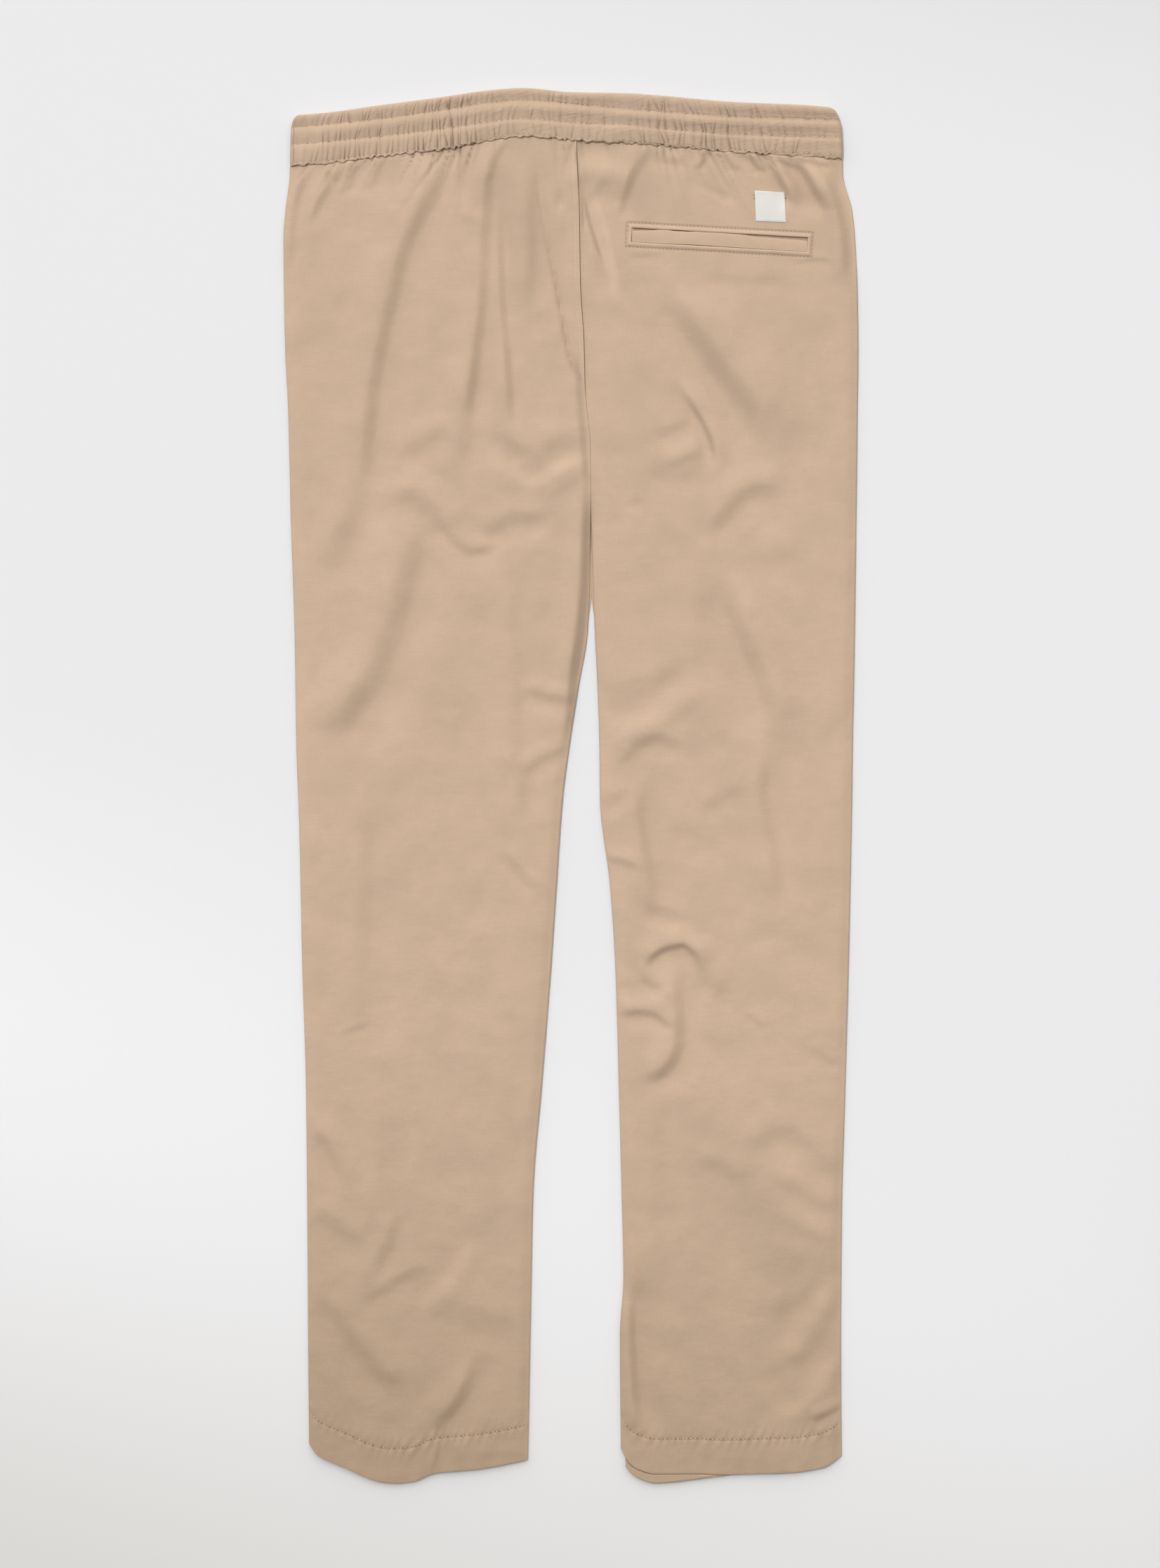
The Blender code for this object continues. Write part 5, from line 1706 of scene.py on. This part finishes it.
@dataclass
class Stitching:
    """Rows of lockstitch as short threads that dip into the cloth at both ends, with a dark disc at each end as
    painted shade where the needle went through.
    """

    name: str
    lines: Sequence[StitchLine]
    thread: Finish = Finish.THREAD
    seed: int = 3
    sections: int = 6
    sides: int = 6

    def capsules(self, line: StitchLine, random: np.random.Generator) -> tuple[Array, Array, Array]:
        """The threads of one row, and the dark discs at their ends: painted shade where the needle went through.

        A thread is a tube about an arc: its middle lies on the cloth, and its ends are sunk. Its
        sections shrink to the ends as the root of a sine. At each end, a small flat six-sided dark disc
        is painted shade where the needle went through.

        Args:
            line: the row.
            random: the source of the stitches' small differences.

        Returns:
            The threads' points (stitches by sections by sides), the holes' points (holes by 6), and
            the threads' own places for the ply.
        """
        steps = np.hypot(np.diff(line.x), np.diff(line.down))
        run = np.concatenate([[0.0], np.cumsum(steps)])
        count = max(1, int(run[-1] / line.pitch))
        middle = (np.arange(count) + 0.5) * run[-1] / count + random.normal(0.0, 0.05, count) * line.pitch
        middle = middle[:, None]
        t = np.linspace(-1.0, 1.0, self.sections)[None, :]
        at = np.clip(middle + t * line.length / 2, 0.0, run[-1])
        x, down = np.interp(at, run, line.x), np.interp(at, run, line.down)
        ends = np.clip(middle + np.array([-0.5, 0.5]) * line.length, 0.0, run[-1])
        end_x, end_down = np.interp(ends, run, line.x), np.interp(ends, run, line.down)
        way_x, way_d = end_x[:, 1] - end_x[:, 0], end_down[:, 1] - end_down[:, 0]
        size = np.hypot(way_x, way_d) + 1e-9
        side_x, side_d = (-way_d / size)[:, None, None], (way_x / size)[:, None, None]
        z = line.height(x, down) + line.thick * (0.36 - 0.75 * t**4)
        radius = 0.5 * line.thick * np.sqrt(np.clip(1.0 - t**6, 0.02, 1.0))
        around = np.linspace(0.0, 2.0 * math.pi, self.sides, endpoint=False)
        across = radius[..., None] * np.cos(around)
        up = radius[..., None] * np.sin(around)
        tube = to_frame(x[..., None] + side_x * across, down[..., None] + side_d * across, z[..., None] + up)
        hole_x = (end_x[..., None] + 0.8 * line.thick * np.cos(around)).reshape(-1, self.sides)
        hole_d = (end_down[..., None] + 0.8 * line.thick * np.sin(around)).reshape(-1, self.sides)
        hole_z = line.height(end_x, end_down).reshape(-1, 1) + 0.05
        hole_shades = to_frame(hole_x, hole_d, hole_z)
        ply = np.stack([at[..., None] + 0.0 * around, 0.0 * at[..., None] + around * 0.2], axis=-1)
        return tube, hole_shades, ply

    def build(self) -> bpy.types.Object:
        """Makes all rows as one joined mesh.

        Returns:
            The stitching's object.
        """
        random = np.random.default_rng(self.seed)
        points, faces, kinds, places = [], [], [], []
        so_far = 0
        for line in self.lines:
            tube, hole_shades, ply = self.capsules(line, random)
            count = len(tube)
            one = np.arange(self.sections * self.sides).reshape(self.sections, self.sides)
            after = np.roll(one, -1, axis=1)
            quads = np.stack([one[:-1], one[1:], after[1:], after[:-1]], axis=-1).reshape(-1, 4)
            shift = so_far + np.arange(count)[:, None, None] * one.size
            faces += (quads[None] + shift).reshape(-1, 4).tolist()
            faces += (one[0][None] + shift[:, 0]).tolist() + (one[-1][::-1][None] + shift[:, 0]).tolist()
            kinds += [0] * (count * (len(quads) + 2))
            so_far += tube.size // 3
            faces += (so_far + np.arange(hole_shades.size // 3).reshape(-1, self.sides)[:, ::-1]).tolist()
            kinds += [1] * len(hole_shades)
            so_far += hole_shades.size // 3
            points += [tube.reshape(-1, 3), hole_shades.reshape(-1, 3)]
            places += [ply.reshape(-1, 2), np.zeros((hole_shades.size // 3, 2))]
        made = make_object(self.name, np.concatenate(points), faces,
                           [self.thread.made(), Finish.NEEDLE_HOLE_SHADE.made()],
                           cloth=np.concatenate(places) * MM, material_index=kinds, sharp_degrees=80.0)
        return made


def band_stitching(band: Waistband) -> Stitching:
    """The band's three rows, and the ends of the first two where they run side by side."""
    lines = []
    for row in (1, 2, 3):
        x = np.linspace(-218.0, 211.0, 400)
        lines.append(StitchLine(x, band.down_at(x, row), _along_row(band, row), 4.2, 3.1, 0.45))
    for row, start, end in ((1, -34.0, 14.0), (2, -36.0, 20.0)):
        x = np.linspace(start, end, 60)
        aside = 2.4 * (end - x) / (end - start) * (1.0 if row == 2 else -1.0)
        lines.append(StitchLine(x, band.down_at(x, row) + aside, _along_row(band, row, 0.35), 4.0, 3.0, 0.45))
    return Stitching("waistband_stitching", lines)


def _along_row(band: Waistband, row: float, over: float = 0.0) -> Height:
    """The band's height along one of its rows, as a height over x and down."""
    return lambda x, down: band.height_at(x, row) + over


# ---------------------------------------------------------------- studio

@dataclass(frozen=True)
class Studio:
    """The pale floor, the softbox at the waist side, the fill light and the camera overhead."""

    view_height: float = 1.25  # of the photograph's frame, on the floor
    centre: tuple[float, float] = (0.0073, 0.0014)
    lens: float = 90.0
    sensor: float = 36.0
    box_place: tuple[float, float, float] = (-0.95, 0.95, 2.75)
    box_aim: tuple[float, float, float] = (0.0, 0.2, 0.0)
    box_size: tuple[float, float] = (1.7, 1.3)
    box_spread: float = math.radians(15.0)
    box_turn: float = math.radians(-8.0)
    box_power: float = 3.93
    box_colour: tuple[float, float, float] = (0.877, 0.908, 1.0)
    fill_colour: tuple[float, float, float] = (1.0, 0.962, 0.89)
    fill_low: float = 0.12
    fill_high: float = 1.55
    fill_way: tuple[float, float, float] = (-0.08, 0.90, 0.42)
    floor_half: float = 30.0

    def camera(self) -> bpy.types.Object:
        """The camera, straight above: its distance is frame height times lens over sensor height."""
        data = bpy.data.cameras.new("overhead_camera")
        data.sensor_fit = "VERTICAL"
        data.sensor_height = self.sensor
        data.lens = self.lens
        data.clip_end = 200.0
        made = bpy.data.objects.new("overhead_camera", data)
        made.location = (*self.centre, self.view_height * self.lens / self.sensor)
        bpy.context.scene.collection.objects.link(made)
        bpy.context.scene.camera = made
        return made

    def softbox(self) -> bpy.types.Object:
        """The large soft light, turned to face its aim."""
        data = bpy.data.lights.new("softbox", "AREA")
        data.shape = "RECTANGLE"
        data.size, data.size_y = self.box_size
        data.energy = self.box_power
        data.spread = self.box_spread
        data.color = self.box_colour
        made = bpy.data.objects.new("softbox", data)
        made.location = self.box_place
        back = (Vector(self.box_place) - Vector(self.box_aim)).normalized()
        ahead = Vector((-math.sin(self.box_turn), math.cos(self.box_turn), 0.0))
        right = ahead.cross(back).normalized()
        made.rotation_euler = Matrix((right, back.cross(right), back)).transposed().to_euler()
        made.visible_camera = False
        bpy.context.scene.collection.objects.link(made)
        return made

    def fill(self) -> None:
        """A pale, slightly warm light from all round, stronger towards the waist side."""
        world = bpy.data.worlds.new("studio_fill")
        world.use_nodes = True
        background = world.node_tree.nodes["Background"]
        background.inputs["Color"].default_value = (*self.fill_colour, 1.0)
        place = world.node_tree.nodes.new("ShaderNodeTexCoord")
        toward = world.node_tree.nodes.new("ShaderNodeVectorMath")
        toward.operation = "DOT_PRODUCT"
        toward.inputs[1].default_value = self.fill_way
        graded = world.node_tree.nodes.new("ShaderNodeMapRange")
        graded.interpolation_type = "SMOOTHSTEP"
        for name, value in (("From Min", -0.3), ("From Max", 1.0), ("To Min", self.fill_low), ("To Max", self.fill_high)):
            graded.inputs[name].default_value = value
        world.node_tree.links.new(place.outputs["Generated"], toward.inputs[0])
        world.node_tree.links.new(toward.outputs["Value"], graded.inputs["Value"])
        world.node_tree.links.new(graded.outputs[0], background.inputs["Strength"])
        bpy.context.scene.world = world

    def floor(self) -> bpy.types.Object:
        """The floor, one level square."""
        half = self.floor_half
        points = np.array([(-half, -half, 0.0), (half, -half, 0.0), (half, half, 0.0), (-half, half, 0.0)])
        made = make_object("floor", points, [[0, 1, 2, 3]], [Finish.FLOOR.made()])
        return made

    def build(self) -> None:
        """Sets up the camera, the lights and the floor."""
        self.camera()
        self.softbox()
        self.fill()
        self.floor()
        bpy.context.scene.view_settings.view_transform = "Standard"


# ---------------------------------------------------------------- the garment

def add_piece(piece: bpy.types.Object, slot: str, *replaced: str) -> bpy.types.Object:
    """Hangs a finished piece on the garment's body and logs it.

    Args:
        piece: the new piece.
        slot: the record's material slot; not used.
        replaced: the CAD nodes that it stands for.

    Returns:
        The same piece.
    """
    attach(piece, "root")
    if replaced:
        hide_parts(*replaced)
    piece.data.calc_loop_triangles()
    LOG.info("%s: %d triangles", piece.name, len(piece.data.loop_triangles))
    return piece


def main() -> None:
    """Builds the studio and the garment, piece by piece."""
    logging.basicConfig(level=logging.INFO, format="%(name)s %(message)s")
    Studio().build()
    left = BackPanel(Side.LEFT, HEM_LEFT)
    right = BackPanel(Side.RIGHT, HEM_RIGHT_BACK, pocket=POCKET)
    fronts = (FrontPanel(Side.LEFT, HEM_LEFT), FrontPanel(Side.RIGHT, HEM_RIGHT_FRONT))
    front_pieces = [add_piece(front.build(), "twill", front.name()) for front in fronts]
    left_piece = add_piece(left.build(), "twill", left.name())
    right_piece = add_piece(right.build(), "twill", right.name())
    band = Waistband()
    band_piece = add_piece(band.build(), "waistband_twill", "waistband")
    strip = add_piece(PocketStrip(right.surface).build(), "twill", "back_pocket_welt")
    label = Label(right.surface)
    label_piece = add_piece(label.build(), "label_tape", "label")
    add_piece(band_stitching(band).build(), "waistband_twill")
    add_piece(panel_stitching(left, right).build(), "twill")
    add_piece(label_stitching(label, right).build(), "label_tape")


def panel_stitching(left: BackPanel, right: BackPanel) -> Stitching:
    """The stitches on the back panels: beside the seat seam, round the pocket and along the hems."""
    lines = []
    down = np.linspace(44.5, 232.0, 240)
    x = left.inner_edge(down) - left.stitch_from_seam
    lines.append(StitchLine(x, down, left.surface, 2.9, 2.0, 0.42))
    out = POCKET.frame_width
    a, c = POCKET.half_length + out, POCKET.half_height + out
    corners = [(-a, c), (a, c), (a, -c), (-a, -c), (-a, c)]
    for (a0, c0), (a1, c1) in zip(corners, corners[1:]):
        t = np.linspace(0.0, 1.0, 100)
        x, down = POCKET.placed(a0 + (a1 - a0) * t, c0 + (c1 - c0) * t)
        lines.append(StitchLine(x, down, right.surface, 2.9, 1.9, 0.6))
    for panel, start, end in ((left, -205.5, -37.0), (right, 43.5, 212.0)):
        x = np.linspace(start, end, 240)
        down = column(panel.hem, "x", "down", x) - HEM_HEIGHT
        lines.append(StitchLine(x, down, panel.surface, 3.4, 2.1, 0.72))
    return Stitching("panel_stitching", lines)


def label_stitching(label: Label, right: BackPanel) -> Stitching:
    """The few dark red stitches that hold the label at its two sides."""
    lines = []
    for along, across in ((-0.5, 0.36), (-0.5, 0.24), (0.5, 0.3)):
        a, c = along * (label.width + 1.0), across * label.length
        x, down = label.placed(np.array([a - 0.5, a + 0.5]), np.array([c, c]))
        lines.append(StitchLine(x, down, lambda px, pd: right.surface(px, pd) + 0.45, 1.2, 1.1, 0.4))
    return Stitching("label_stitching", lines, Finish.RED_THREAD)


if __name__ == "__main__":
    main()
